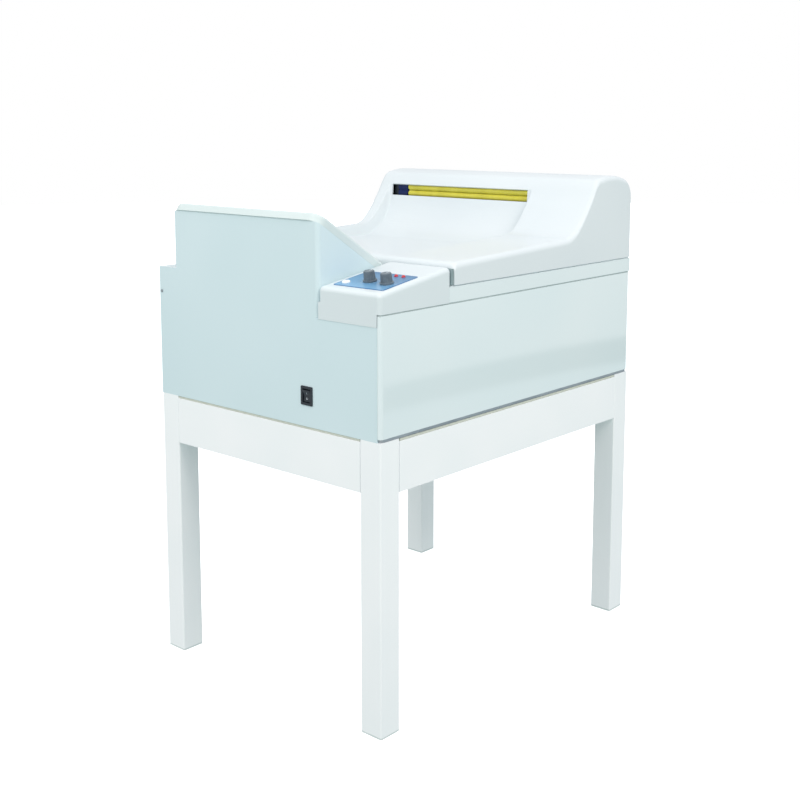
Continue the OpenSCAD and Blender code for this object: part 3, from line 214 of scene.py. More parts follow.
@dataclass(frozen=True)
class Finish:
    """A surface with slow drift of tone, wandering gloss, fine relief and sheet waves, at real sizes."""

    name: str
    colour: str
    shade: str
    roughness: float
    wander: float
    drift_mm: float
    grain_mm: float
    relief_mm: float
    metallic: float = 0.0
    coat: float = 0.0
    glow_mm: float = 0.0
    wave_mm: float = 0.0
    wave_depth_mm: float = 0.0
    stretch: Point = (1.0, 1.0, 1.0)

    def coordinates(self, tree: NodeTree) -> Source:
        """Gives the object's own coordinates, stretched along the grain."""
        place = add_node(tree, "TexCoord")
        turned = add_node(tree, "Mapping", {"Scale": self.stretch}, {"Vector": (place, "Object")})
        return turned, "Vector"

    def tint(self, tree: NodeTree, place: Source) -> Source:
        """Mixes the two tones in slow patches over the coordinates."""
        drift = noise(tree, place, self.drift_mm, 1.0)
        return mix(tree, spread(tree, drift, *DRIFT_SPAN), self.colour, self.shade)

    def relief(self, tree: NodeTree, place: Source) -> Node:
        """Raises the fine grain as a bump, over slow waves where the sheet is not quite flat."""
        fine = bump(tree, noise(tree, place, self.grain_mm, 2.0), self.relief_mm)
        if self.wave_mm:
            slow = bump(tree, noise(tree, place, self.wave_mm, 0.0), self.wave_depth_mm)
            tree.links.new(slow.outputs["Normal"], fine.inputs["Normal"])
        return fine

    def material(self) -> Material:
        """Makes the node material on first use and gives the same one afterwards."""
        made = bpy.data.materials.get(self.name)
        if made is not None:
            return made
        made = bpy.data.materials.new(self.name)
        tree = empty_tree(made)
        place = self.coordinates(tree)
        shader = add_node(tree, "BsdfPrincipled",
                          {"Metallic": self.metallic, "Roughness": self.roughness,
                           "Coat Weight": self.coat, "Coat Roughness": COAT_ROUGHNESS},
                          {"Base Color": self.tint(tree, place),
                           "Normal": (self.relief(tree, place), "Normal")})
        if self.glow_mm:
            shader.inputs["Subsurface Weight"].default_value = GLOW_SHARE
            shader.inputs["Subsurface Radius"].default_value = GLOW_REACH
            shader.inputs["Subsurface Scale"].default_value = self.glow_mm * MM
        if self.wander:
            gloss = noise(tree, place, self.drift_mm / DRIFT_PER_GLOSS, 1.0)
            limits = (self.roughness - self.wander, self.roughness + self.wander)
            rough, output = spread(tree, gloss, 0.0, 1.0, limits)
            tree.links.new(rough.outputs[output], shader.inputs["Roughness"])
        add_node(tree, "OutputMaterial", {}, {"Surface": (shader, "BSDF")})
        return made


@dataclass(frozen=True)
class PrintedFilm(Finish):
    """Printed film: its blue runs from light at the front to deep at the back, inside a darker border."""

    low: Span = (0.0, 0.0)
    high: Span = (1.0, 1.0)
    border: str = "#2f6ea6"
    border_mm: float = 2.2

    def tint(self, tree: NodeTree, place: Source) -> Source:
        """Mixes the blue from light at the front to deep at the back, and prints the border by distance from
        the film's edges.
        """
        split = add_node(tree, "SeparateXYZ", {}, {"Vector": place})
        run = spread(tree, (split, "Y"), self.low[1] * MM, self.high[1] * MM)
        within: list[Node] = []
        for axis, name in enumerate("XY"):
            middle = (self.low[axis] + self.high[axis]) / 2 * MM
            reach = ((self.high[axis] - self.low[axis]) / 2 - self.border_mm) * MM
            within.append(add_node(tree, "Math", {"operation": "COMPARE", 1: middle, 2: reach},
                                   {0: (split, name)}))
        both = add_node(tree, "Math", {"operation": "MULTIPLY"},
                        {key: (node, "Value") for key, node in enumerate(within)})
        return mix(tree, (both, "Value"), self.border, mix(tree, run, self.colour, self.shade))


@dataclass(frozen=True)
class CircuitBoard(Finish):
    """Solder-masked board: fine straight tracks show through the green lacquer."""

    brick_mm: float = 6.0
    track_share: float = 0.03

    def tint(self, tree: NodeTree, place: Source) -> Source:
        """Draws tracks a quarter of a brick apart, in the lighter tone."""
        tracks = add_node(tree, "TexBrick",
                          {"Scale": 1 / (self.brick_mm * MM), "Mortar Size": self.track_share,
                           "Color1": linear(self.colour), "Color2": linear(self.colour),
                           "Mortar": linear(self.shade)}, {"Vector": place})
        return tracks, "Color"


# Each finish gives its name, two tones, roughness and how far that wanders, then drift, grain and relief in
# millimetres.
# Polyester powder coat on steel tube: even, slightly pebbled white with a soft sheen.
POWDER_WHITE = Finish("powder_coat_white", "#f9fbfd", "#f4f8fa", 0.36, 0.0, 160, 2.4, 0.02)
# Baked enamel on folded sheet: smooth pale blue-grey with a satin gloss.
ENAMEL_PALE = Finish("baked_enamel_pale_blue", "#d4e6eb", "#cee2e7", 0.30, 0.0, 260, 3.0, 0.008,
                     wave_mm=500.0, wave_depth_mm=0.5)
# Gloss enamel on thin sheet: clear reflections of the room's floor edge that bend a little with the sheet.
ENAMEL_GLOSS = Finish("gloss_enamel_white", "#e2edef", "#dceaed", 0.04, 0.0, 300, 3.0, 0.002, coat=0.6,
                      wave_mm=420.0, wave_depth_mm=0.6)
# Moulded ABS, white: smooth skin with a soft highlight and hardly any grain.
ABS_WHITE = Finish("moulded_abs_white", "#dae4e7", "#d4dee2", 0.32, 0.0, 220, 1.2, 0.006)
# Moulded ABS of the deck band: the same skin, a little paler.
ABS_DECK = Finish("moulded_abs_pale", "#e1ecee", "#dbe7ea", 0.32, 0.0, 240, 1.2, 0.006)
# Sprayed enamel on the folded tray: pale green-grey white, satin.
ENAMEL_TRAY = Finish("sprayed_enamel_tray", "#d4e1e1", "#cedcdc", 0.34, 0.0, 200, 1.4, 0.006)
# Thermoformed ABS of the big cover: smoother and softly glossy, so its edges run softly into the light.
ABS_COVER = Finish("thermoformed_abs_white", "#dde5e8", "#d7e0e4", 0.28, 0.0, 260, 1.6, 0.006)
# Closed-cell foam strip: matt pale grey in the seam's shade.
FOAM_PALE = Finish("closed_cell_foam_pale", "#b9c6c6", "#aebcbc", 0.85, 0.05, 12, 0.8, 0.05)
# Open-cell foam strip, dull grey-green: painted shade, a dark strip that stands for the shadow in its gap.
GAP_FOAM_PAINTED_SHADE = Finish("open_cell_foam_painted_shade", "#8fa1a5", "#84969a", 0.9, 0.04, 9, 1.0, 0.08)
# Pressed felt packing, dull pale tan: painted shade, its tone stands for the soft shadow line in the joint.
FELT_TAN_PAINTED_SHADE = Finish("pressed_felt_painted_shade", "#d0d4ca", "#c5cabf", 0.95, 0.03, 8, 0.9, 0.08)
# Silicone bead: pale and satin, nearly the tone of the enamel on both sides of it.
SILICONE_PALE = Finish("silicone_bead_pale", "#dde9ea", "#d5e3e5", 0.4, 0.05, 30, 1.5, 0.02)
# Moulded ABS, black: fine spark texture that dulls the highlight.
ABS_BLACK = Finish("moulded_abs_black", "#141c24", "#1c2731", 0.42, 0.08, 14, 0.7, 0.02)
# Moulded ABS, slate grey: fine texture, the ribs catch a pale edge.
ABS_SLATE = Finish("moulded_abs_slate", "#6d7b84", "#5c6973", 0.36, 0.06, 9, 0.6, 0.02)
# White moulded button: plain bright white.
ABS_BRIGHT = Finish("moulded_abs_bright", "#fafcfc", "#f1f5f5", 0.25, 0.05, 8, 0.6, 0.005)
# Screen ink, white: matt raised print.
INK_WHITE = Finish("screen_ink_white", "#e8f1f6", "#d8e6ef", 0.6, 0.05, 5, 0.4, 0.004)
# Cast polyurethane sleeve: mustard yellow, matt, lit a little from within, with faint ground bands.
PU_YELLOW = Finish("ground_polyurethane_yellow", "#d9d252", "#cdc649", 0.50, 0.05, 60, 0.9, 0.006,
                   glow_mm=4.0, stretch=(3.0, 1.0, 1.0))
# Ground rubber sleeve: dull mid grey with a fine ground nap.
RUBBER_GREY = Finish("ground_rubber_grey", "#6b7175", "#5f666a", 0.7, 0.08, 40, 0.8, 0.02,
                     stretch=(3.0, 1.0, 1.0))
# Cut nylon gear: deep blue, waxy sheen.
NYLON_BLUE = Finish("cut_nylon_blue", "#20346f", "#182a5c", 0.4, 0.08, 12, 0.8, 0.01)
# Bright zinc-plated steel: brushed along X, bluish grey with long fine scratches.
ZINC_STEEL = Finish("zinc_plated_steel", "#b4babd", "#9fa7ab", 0.32, 0.10, 45, 0.5, 0.006, metallic=1.0,
                    stretch=(0.12, 1.0, 1.0))
# Welded PVC sheet: even light grey, slightly waxy.
PVC_GREY = Finish("welded_pvc_grey", "#bcc2c5", "#b0b7bb", 0.45, 0.06, 120, 1.5, 0.01)
# Neoprene belt: black, dull, faintly ribbed.
NEOPRENE = Finish("neoprene_black", "#17191b", "#222528", 0.75, 0.08, 15, 1.0, 0.03)
# Moulded foot cap: pale grey polyethylene, dull.
CAP_PALE = Finish("moulded_polyethylene_pale", "#dfe6e6", "#d3dcdc", 0.55, 0.06, 20, 0.8, 0.01)
# Clear red acrylic lens: deep red with a wet highlight.
ACRYLIC_RED = Finish("moulded_acrylic_red", "#d4434f", "#b92c38", 0.12, 0.04, 6, 0.5, 0.002, coat=0.5)
# Glass-epoxy board under green lacquer: the tracks show as fine lighter lines.
BOARD_GREEN = CircuitBoard("lacquered_epoxy_green", "#2b6742", "#5a9a63", 0.35, 0.05, 20, 0.6, 0.01)
# Printed polycarbonate film: satin blue ink seen through a clear skin.
FILM_BLUE = PrintedFilm("printed_polycarbonate_blue", "#78abd2", "#38739f", 0.32, 0.06, 30, 0.5, 0.003,
                        low=(174.75, -398.2), high=(298.75, -300.4))


def inside(value: float, span: Span) -> bool:
    """Tells whether a value lies between two others."""
    return span[0] < value < span[1]


def nothing_selected() -> None:
    """Clears the selection."""
    for other in bpy.context.view_layer.objects:
        other.select_set(False)


def activate(obj: Object) -> None:
    """Leaves only this object selected, and makes it active."""
    nothing_selected()
    obj.select_set(True)
    bpy.context.view_layer.objects.active = obj


@contextmanager
def editing(obj: Object) -> Iterator[None]:
    """Opens a mesh in edit mode with nothing selected, and closes it again."""
    activate(obj)
    bpy.ops.object.mode_set(mode="EDIT")
    bpy.ops.mesh.select_mode(type="FACE")
    bpy.ops.mesh.select_all(action="DESELECT")
    yield
    bpy.ops.object.mode_set(mode="OBJECT")


def pick_faces(obj: Object, test: Callable[[Vector, Vector], bool]) -> None:
    """Selects faces of an open mesh by place and normal.

    Args:
        obj: The object in edit mode.
        test: Tells from a face's centre and normal whether it is wanted.
    """
    bpy.ops.mesh.select_all(action="DESELECT")
    mesh = bmesh.from_edit_mesh(obj.data)
    for face in [f for f in mesh.faces if test(f.calc_center_median(), f.normal)]:
        face.select_set(True)
    bmesh.update_edit_mesh(obj.data)


def inset(width_mm: float, depth_mm: float = 0.0, each: bool = False) -> None:
    """Insets the selected faces, as one region or each by itself."""
    bpy.ops.mesh.inset(thickness=width_mm * MM, depth=depth_mm * MM, use_individual=each)


def raise_faces(height_mm: float, scale: float, centre: Point = (0, 0, 0)) -> None:
    """Extrudes the selected faces along Z and scales the new ones across it, about a centre in metres."""
    bpy.ops.mesh.extrude_region_move(TRANSFORM_OT_translate={"value": (0, 0, height_mm * MM)})
    bpy.ops.transform.resize(value=(scale, scale, 1.0), center_override=centre)


def use_modifier(obj: Object, kind: str, **settings: object) -> None:
    """Adds a modifier of a kind with its settings and applies it."""
    activate(obj)
    modifier = obj.modifiers.new(kind.lower(), kind)
    for key, value in settings.items():
        setattr(modifier, key, value)
    bpy.ops.object.modifier_apply(modifier=modifier.name)


def soften(obj: Object, width_mm: float, segments: int = 2, angle: float = 40.0) -> None:
    """Rounds the sharp edges of a mesh.

    Args:
        obj: The mesh object.
        width_mm: Width of the rounding.
        segments: Steps across it.
        angle: Edges that turn less than this many degrees stay.
    """
    use_modifier(obj, "BEVEL", width=width_mm * MM, segments=segments, limit_method="ANGLE",
                 angle_limit=math.radians(angle), use_clamp_overlap=True, miter_outer="MITER_ARC")


def shade(obj: Object, angle: float = 35.0) -> None:
    """Shades a mesh smooth except across edges sharper than the angle, with flat faces kept flat."""
    activate(obj)
    bpy.ops.object.shade_smooth_by_angle(angle=math.radians(angle))
    use_modifier(obj, "WEIGHTED_NORMAL", keep_sharp=True, weight=90)


def settle(obj: Object, matrix: Matrix | None = None) -> None:
    """Puts a piece's place into its mesh, so that its object sits at the origin.

    Args:
        obj: The mesh object.
        matrix: Where the piece goes, if it was modelled at the origin.
    """
    activate(obj)
    if matrix is not None:
        obj.matrix_world = matrix @ obj.matrix_world
    bpy.context.view_layer.update()
    bpy.ops.object.transform_apply(location=True, rotation=True, scale=True)


def block(size_mm: Sequence[float], middle_mm: Sequence[float] = (0, 0, 0)) -> Object:
    """Adds a box of a size round a middle, both in millimetres."""
    nothing_selected()
    bpy.ops.mesh.primitive_cube_add(size=1.0, location=Vector(middle_mm) * MM, scale=Vector(size_mm) * MM)
    obj = bpy.context.object
    settle(obj)
    return obj


def cylinder(sides: int, radius_mm: float, height_mm: float) -> Object:
    """Adds a cylinder that stands on the origin along +Z."""
    nothing_selected()
    bpy.ops.mesh.primitive_cylinder_add(vertices=sides, radius=radius_mm * MM, depth=height_mm * MM,
                                        location=(0, 0, height_mm * MM / 2))
    return bpy.context.object


def join(pieces: list[Object]) -> Object:
    """Joins meshes into the first one and returns it."""
    activate(pieces[0])
    for piece in pieces[1:]:
        piece.select_set(True)
    bpy.ops.object.join()
    return pieces[0]


def duplicate(obj: Object) -> Object:
    """Copies an object with a mesh of its own."""
    copy = obj.copy()
    copy.data = obj.data.copy()
    bpy.context.scene.collection.objects.link(copy)
    return copy


@dataclass(frozen=True)
class Zone:
    """Part of a piece with its own finish, picked by a test of the face's centre in millimetres."""

    finish: Finish
    test: Callable[[Vector], bool]


@dataclass(frozen=True)
class Dress:
    """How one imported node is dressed: slot, finish, rounded edges, body and parts with other finishes."""

    node: str
    slot: Slot
    finish: Finish
    width_mm: float = 0.6
    segments: int = 2
    body: str = Body.CABINET.value
    zones: tuple[Zone, ...] = ()


@dataclass
class Assembly:
    """Pieces that belong together and are handed over to the frame in one way."""

    made: list[str] = field(default_factory=list, init=False)

    def hand_over(self, obj: Object, name: str, slot: Slot, finish: Finish,
                  body: str = Body.CABINET.value, nodes: tuple[str, ...] = (),
                  zones: tuple[Zone, ...] = ()) -> None:
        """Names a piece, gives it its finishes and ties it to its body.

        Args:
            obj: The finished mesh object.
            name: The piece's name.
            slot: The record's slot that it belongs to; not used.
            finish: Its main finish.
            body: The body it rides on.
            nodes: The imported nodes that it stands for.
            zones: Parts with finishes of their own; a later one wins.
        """
        obj.name = name
        obj.data.name = name
        obj.data.materials.clear()
        for used in (finish, *(zone.finish for zone in zones)):
            obj.data.materials.append(used.material())
        for face in obj.data.polygons:
            face.material_index = 0
            for k, zone in enumerate(zones):
                if zone.test(Vector(face.center) / MM):
                    face.material_index = k + 1
        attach(obj, body)
        if nodes:
            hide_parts(*nodes)
        self.made.append(name)
        log.info("%s: %d faces on %s", name, len(obj.data.polygons), body)

    def dress(self, *rows: Dress) -> None:
        """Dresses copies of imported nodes: merged faces, rounded edges, smooth shading, in the node's box."""
        for row in rows:
            obj = duplicate(frame["nodes"][row.node])
            obj.parent = None
            for key in [k for k in obj.keys() if k.startswith("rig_")]:
                del obj[key]
            with editing(obj):
                bpy.ops.mesh.select_all(action="SELECT")
                bpy.ops.mesh.remove_doubles(threshold=MERGE_MM * MM)
                bpy.ops.mesh.dissolve_limited(angle_limit=math.radians(FLAT_DEG))
            activate(obj)
            bpy.ops.mesh.customdata_custom_splitnormals_clear()
            if row.width_mm:
                soften(obj, row.width_mm, row.segments)
            low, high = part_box(row.node)
            for vertex in obj.data.vertices:
                vertex.co = [min(max(c, a), b) for c, a, b in zip(vertex.co, low, high)]
            shade(obj)
            self.hand_over(obj, row.node + "_dressed", row.slot, row.finish, row.body, (row.node,),
                           row.zones)


@dataclass
class Stand(Assembly):
    """Square-tube stand: legs, channel aprons, foot caps and the bolts into the cabinet."""

    edge_mm: float = 0.9
    tubes: tuple[str, ...] = ("leg_front_left", "leg_front_right", "leg_rear_left", "leg_rear_right",
                              "apron_front", "apron_rear", "apron_left", "apron_right")

    def build(self) -> None:
        """Dresses the tubes and channels in powder coat, the caps and the bolts."""
        self.dress(*(Dress(tube, Slot.STAND, POWDER_WHITE, self.edge_mm) for tube in self.tubes))
        self.dress(Dress("leg_end_caps", Slot.CAP, CAP_PALE, 0.8),
                   Dress("stand_bolts", Slot.STEEL, ZINC_STEEL, 0.5))


@dataclass
class Fasteners(Assembly):
    """Pan-head screws: one is modelled and copied to each place."""

    sides: int = 24
    head_r: float = 3.2
    head_h: float = 1.5
    dome_w: float = 1.1
    dome_h: float = 0.25
    recess_w: float = 0.7
    recess_depth: float = 0.8
    recess_taper: float = 0.45

    def screw(self) -> Object:
        """Models a domed screw head with a tapered recess, standing on the origin along +Z."""
        obj = cylinder(self.sides, self.head_r, self.head_h)
        with editing(obj):
            pick_faces(obj, lambda c, n: n.z > FACING)
            inset(self.dome_w, self.dome_h)
            inset(self.recess_w)
            raise_faces(-self.recess_depth, self.recess_taper, (0, 0, self.head_h * MM))
        settle(obj)
        shade(obj, 40)
        return obj

    def place(self, name: str, spots: list[Point], out: Vector, body: Body = Body.CABINET) -> None:
        """Copies the screw to places on a face.

        Args:
            name: Name of the group.
            spots: The foot of each screw in millimetres.
            out: The direction that the heads face.
            body: The body that the screws ride on.
        """
        first = self.screw()
        screws = [first, *(duplicate(first) for _ in spots[1:])]
        turn = UP.rotation_difference(out).to_matrix().to_4x4()
        for obj, foot in zip(screws, spots):
            settle(obj, Matrix.Translation(Vector(foot) * MM) @ turn)
        self.hand_over(join(screws), name, Slot.STEEL, ZINC_STEEL, body.value)


@dataclass(frozen=True)
class Filler:
    """Bars that fill a joint: their corners in millimetres, and the depth and side of the groove in each."""

    name: str
    slot: Slot
    finish: Finish
    groove_mm: float
    bars: tuple[tuple[Point, Point], ...]
    face: Vector = UP


@dataclass
class Cabinet(Assembly):
    """Painted sheet housing round the tanks: end, side and rear panels, deck band, pan and posts."""

    strip_mm: float = 5.0
    strip_depth: float = 2.0
    strip_front: float = 1.5
    strip_below: float = 1.2
    strip_above: float = 0.8
    box_back: float = -221.0
    bead_x: Span = (301.52, 302.48)
    felt_w: float = 27.0
    felt_z: Span = (SIZE.stand_h - 4.9, SIZE.stand_h - 0.1)
    felt_set_back: float = 1.0
    leg_clear: float = 52.0
    cap_x: Span = (-295.0, 295.0)
    cap_half_w: float = 11.8
    groove_rim: float = 0.3
    round_share: float = 0.2
    round_mm: float = 0.3
    rear_screw_x: tuple[float, ...] = (-285.0, -95.0, 95.0, 285.0)
    rear_screw_z: Span = (SIZE.stand_h + 18, SIZE.seam_z - 16)
    hinge_screw_x: tuple[float, ...] = (-220.0, -200.0, -180.0, 180.0, 200.0, 220.0)
    leaf_y: float = SIZE.rear_y + 1.5
    leaf_z: Span = (SIZE.deck_z - 18.3, SIZE.deck_z + 20)
    corner_screw: Point = (-303.0, SIZE.front_y, SIZE.seam_z - 14)

    def seam_strip(self) -> None:
        """Lays the pale strip that closes the seam under the deck round sides and rear, from an open box."""
        wide = SIZE.half_w - self.strip_depth
        low = Vector((-wide, SIZE.front_y + self.strip_front, SIZE.seam_z - SIZE.seam - self.strip_below))
        high = Vector((wide, SIZE.rear_y - self.strip_depth, SIZE.seam_z + self.strip_above))
        obj = block(high - low, (high + low) / 2)
        with editing(obj):
            pick_faces(obj, lambda c, n: abs(n.z) > FACING or n.y < -FACING)
            bpy.ops.mesh.delete(type="FACE")
        use_modifier(obj, "SOLIDIFY", thickness=self.strip_mm * MM, offset=-1.0)
        soften(obj, 0.4)
        shade(obj)
        self.hand_over(obj, "seam_strip", Slot.SIDE, FOAM_PALE)

    def fillers(self) -> tuple[Filler, ...]:
        """Lists the seals at cover and deck, the corner's bead, the stand's felt and the rails' caps; the
        cover seal's and felt's tones are painted shade.
        """
        box_y, deck, seam = self.box_back, SIZE.deck_z, SIZE.seam_z
        low, high = self.felt_z
        front, rear = SIZE.front_y + self.felt_set_back, SIZE.rear_y - self.felt_set_back
        outer, end = SIZE.half_w - self.felt_set_back, SIZE.half_w - self.leg_clear
        inner, near, far = outer - self.felt_w, front + self.leg_clear, rear - self.leg_clear
        felt = (
            ((-end, front, low), (end, front + self.felt_w, high)),
            ((-end, rear - self.felt_w, low), (end, rear, high)),
            ((inner, near, low), (outer, far, high)),
            ((-outer, near, low), (-inner, far, high)),
        )
        caps = tuple(((x - self.cap_half_w, SIZE.rear_y - 9, seam + 3.2),
                      (x + self.cap_half_w, SIZE.rear_y - 0.2, seam + 26.3)) for x in self.cap_x)
        return (
            # Painted shade: this dark strip stands for the shadow in the gap behind the control box.
            Filler("cover_seal_painted_shade", Slot.SIDE, GAP_FOAM_PAINTED_SHADE, 1.0,
                   (((170, box_y, deck + 0.5), (308.5, SIZE.cover_y - 0.6, deck + 31)),)),
            Filler("deck_end_strip", Slot.MOULDED, ABS_DECK, 0.3,
                   (((298, box_y - 6, seam + 0.5), (309.8, box_y + 2.8, deck - 2.5)),)),
            Filler("corner_bead", Slot.SIDE, SILICONE_PALE, 0.1,
                   (((self.bead_x[0], SIZE.front_y + 0.4, SIZE.stand_h + 6.5),
                     (self.bead_x[1], SIZE.front_y + 6, seam - 23.5)),)),
            # Painted shade: the felt's tan stands for the soft shadow line between stand and cabinet.
            Filler("stand_packing_painted_shade", Slot.SIDE, FELT_TAN_PAINTED_SHADE, 0.6, felt),
            Filler("rail_end_caps", Slot.MOULDED, ABS_DECK, 1.0, caps, BACK),
        )

    def fill(self, filler: Filler) -> None:
        """Models bars with rounded edges and a groove pressed into one face of each."""
        bars: list[Object] = []
        for corners in filler.bars:
            low, high = Vector(corners[0]), Vector(corners[1])
            thin = min(high - low)
            obj = block(high - low, (high + low) / 2)
            with editing(obj):
                pick_faces(obj, lambda c, n: n.dot(filler.face) > FACING)
                inset(thin * self.groove_rim, -filler.groove_mm)
            soften(obj, min(self.round_mm, thin * self.round_share))
            shade(obj)
            bars.append(obj)
        self.hand_over(join(bars), filler.name, filler.slot, filler.finish)

    def screws(self) -> None:
        """Sets the screws of the rear panel, the hinges and the front corner."""
        low, high = self.rear_screw_z
        rear = [(x, SIZE.rear_y, low) for x in self.rear_screw_x]
        rear += [(x, SIZE.rear_y, high) for x in (self.rear_screw_x[0], self.rear_screw_x[-1])]
        kit = Fasteners()
        kit.place("rear_panel_screws", rear, BACK)
        leaves, hinges = ([(x, self.leaf_y, z) for x in self.hinge_screw_x] for z in self.leaf_z)
        kit.place("hinge_leaf_screws", leaves, BACK)
        kit.place("cover_hinge_screws", hinges, BACK, Body.COVER)
        kit.place("front_corner_screw", [self.corner_screw], -BACK)

    def build(self) -> None:
        """Dresses the panels, then adds the screws that hold them and what fills the seams."""
        self.dress(
            Dress("end_panel", Slot.PANEL, ENAMEL_PALE, 0.6),
            Dress("rear_panel", Slot.PANEL, ENAMEL_PALE, 0.5),
            Dress("left_panel", Slot.SIDE, ENAMEL_GLOSS, 0.5),
            Dress("right_panel", Slot.SIDE, ENAMEL_GLOSS, 0.5),
            Dress("deck_frame", Slot.MOULDED, ABS_DECK, 0.8),
            Dress("base_pan", Slot.STEEL, ZINC_STEEL, 0.5),
            Dress("frame_posts", Slot.STEEL, ZINC_STEEL, 0.5),
            Dress("power_inlet", Slot.BLACK, ABS_BLACK, 0.5),
            Dress("hinge_leaves", Slot.STEEL, ZINC_STEEL, 0.3),
        )
        self.screws()
        self.seam_strip()
        for filler in self.fillers():
            self.fill(filler)


@dataclass
class FeedTray(Assembly):
    """Sloping tray that guides a film to the entry rollers."""

    def build(self) -> None:
        """Dresses the tray with softened rims."""
        self.dress(Dress("feed_tray", Slot.MOULDED, ENAMEL_TRAY, 0.8))


@dataclass
class ControlBox(Assembly):
    """Moulded box with printed film, two knobs, a push button and two lamps on its sloping top."""

    front_y: float = SIZE.front_y - 1
    front_z: float = SIZE.seam_z + 37
    tilt: float = 8.8
    film_top: float = 0.8
    knobs: tuple[tuple[str, float, float], ...] = (("temperature_knob", 230.75, 61.0),
                                                   ("speed_knob", 273.75, 59.0))
    knob_gap: float = 0.4
    knob_r: float = 11.0
    knob_h: float = 20.0
    flange_r: float = 13.0
    flange_h: float = 3.0
    chamfer: float = 0.8
    shoulder: float = 1.2
    shoulder_drop: float = 2.0
    taper: float = 0.93
    cap_rim: Span = (1.2, 0.3)
    cap_dish: Span = (0.5, -0.35)
    grip: Span = (4.0, 17.5)
    flutes: int = 40
    flute_w: float = 0.25
    flute_depth: float = 0.5
    pointer: Point = (1.1, 6.5, 0.5)
    pointer_y: float = 5.2
    pointer_sink: float = 0.35
    tick: Point = (0.7, 2.4, 0.12)
    tick_r: float = 16.5
    tick_lift: float = 0.05
    ticks: int = 11
    dial_deg: float = 140.0

    def on_panel(self, x: float, v: float, w: float) -> Matrix:
        """Gives the place of a point on the sloping panel.

        Args:
            x: Place across the machine in millimetres.
            v: Distance up the slope.
            w: Height above the panel.

        Returns:
            The matrix that takes a piece from the origin to that place.
        """
        origin = Matrix.Translation(Vector((0, self.front_y, self.front_z)) * MM)
        slope = Matrix.Rotation(math.radians(self.tilt), 4, "X")
        return origin @ slope @ Matrix.Translation(Vector((x, v, w)) * MM)

    def knob(self, node: str, x: float, v: float) -> None:
        """Models a fluted knob with a flange, from one cylinder, and its pointer line.

        Args:
            node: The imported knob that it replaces.
            x: Place across the machine in millimetres.
            v: Distance up the slope.
        """
        obj = cylinder(self.flutes, self.flange_r, self.flange_h)
        step = 2 * math.pi / self.flutes
        with editing(obj):
            pick_faces(obj, lambda c, n: n.z > FACING)
            inset(self.chamfer, self.chamfer / 2)
            inset(self.flange_r - self.knob_r - self.chamfer)
            raise_faces(self.knob_h - self.flange_h - self.shoulder_drop, self.taper)
            raise_faces(self.shoulder, self.taper)
            inset(*self.cap_rim)
            inset(*self.cap_dish)
            pick_faces(obj, lambda c, n: inside(c.z / MM, self.grip)
                       and math.floor(math.atan2(c.y, c.x) / step) % 2 == 0)
            inset(self.flute_w, -self.flute_depth, True)
        foot = self.film_top + self.knob_gap
        settle(obj, self.on_panel(x, v, foot))
        shade(obj, 30)
        self.hand_over(obj, node + "_fluted", Slot.KNOB, ABS_SLATE, node, (node,))
        line = block(self.pointer)
        soften(line, 0.2)
        settle(line, self.on_panel(x, v + self.pointer_y, foot + self.knob_h - self.pointer_sink))
        shade(line)
        self.hand_over(line, node + "_pointer", Slot.BUTTON, INK_WHITE, node)

    def dial_marks(self) -> None:
        """Prints a ring of short ticks round each knob: one tick is modelled and copied."""
        tick = block(self.tick)
        soften(tick, 0.04, 1)
        marks: list[Object] = []
        for _, x, v in self.knobs:
            for k in range(self.ticks):
                angle = math.radians(self.dial_deg * (2 * k / (self.ticks - 1) - 1))
                turn = Matrix.Rotation(-angle, 4, "Z") @ Matrix.Translation(Vector((0, self.tick_r, 0)) * MM)
                mark = duplicate(tick)
                settle(mark, self.on_panel(x, v, self.film_top + self.tick_lift) @ turn)
                marks.append(mark)
        bpy.data.objects.remove(tick)
        self.hand_over(join(marks), "dial_marks", Slot.OVERLAY, INK_WHITE)

    def build(self) -> None:
        """Dresses the box and its film, then models what sits on it."""
        self.dress(
            Dress("control_box", Slot.MOULDED, ABS_WHITE, 0.0),
            Dress("control_overlay", Slot.OVERLAY, FILM_BLUE, 0.2),
            Dress("indicator_lamps", Slot.LAMP, ACRYLIC_RED, 0.0),
            Dress("control_board", Slot.BOARD, BOARD_GREEN, 0.0),
            Dress("start_button", Slot.BUTTON, ABS_BRIGHT, 0.3, body=Body.START_BUTTON.value),
        )
        for node, x, v in self.knobs:
            self.knob(node, x, v)
        self.dial_marks()


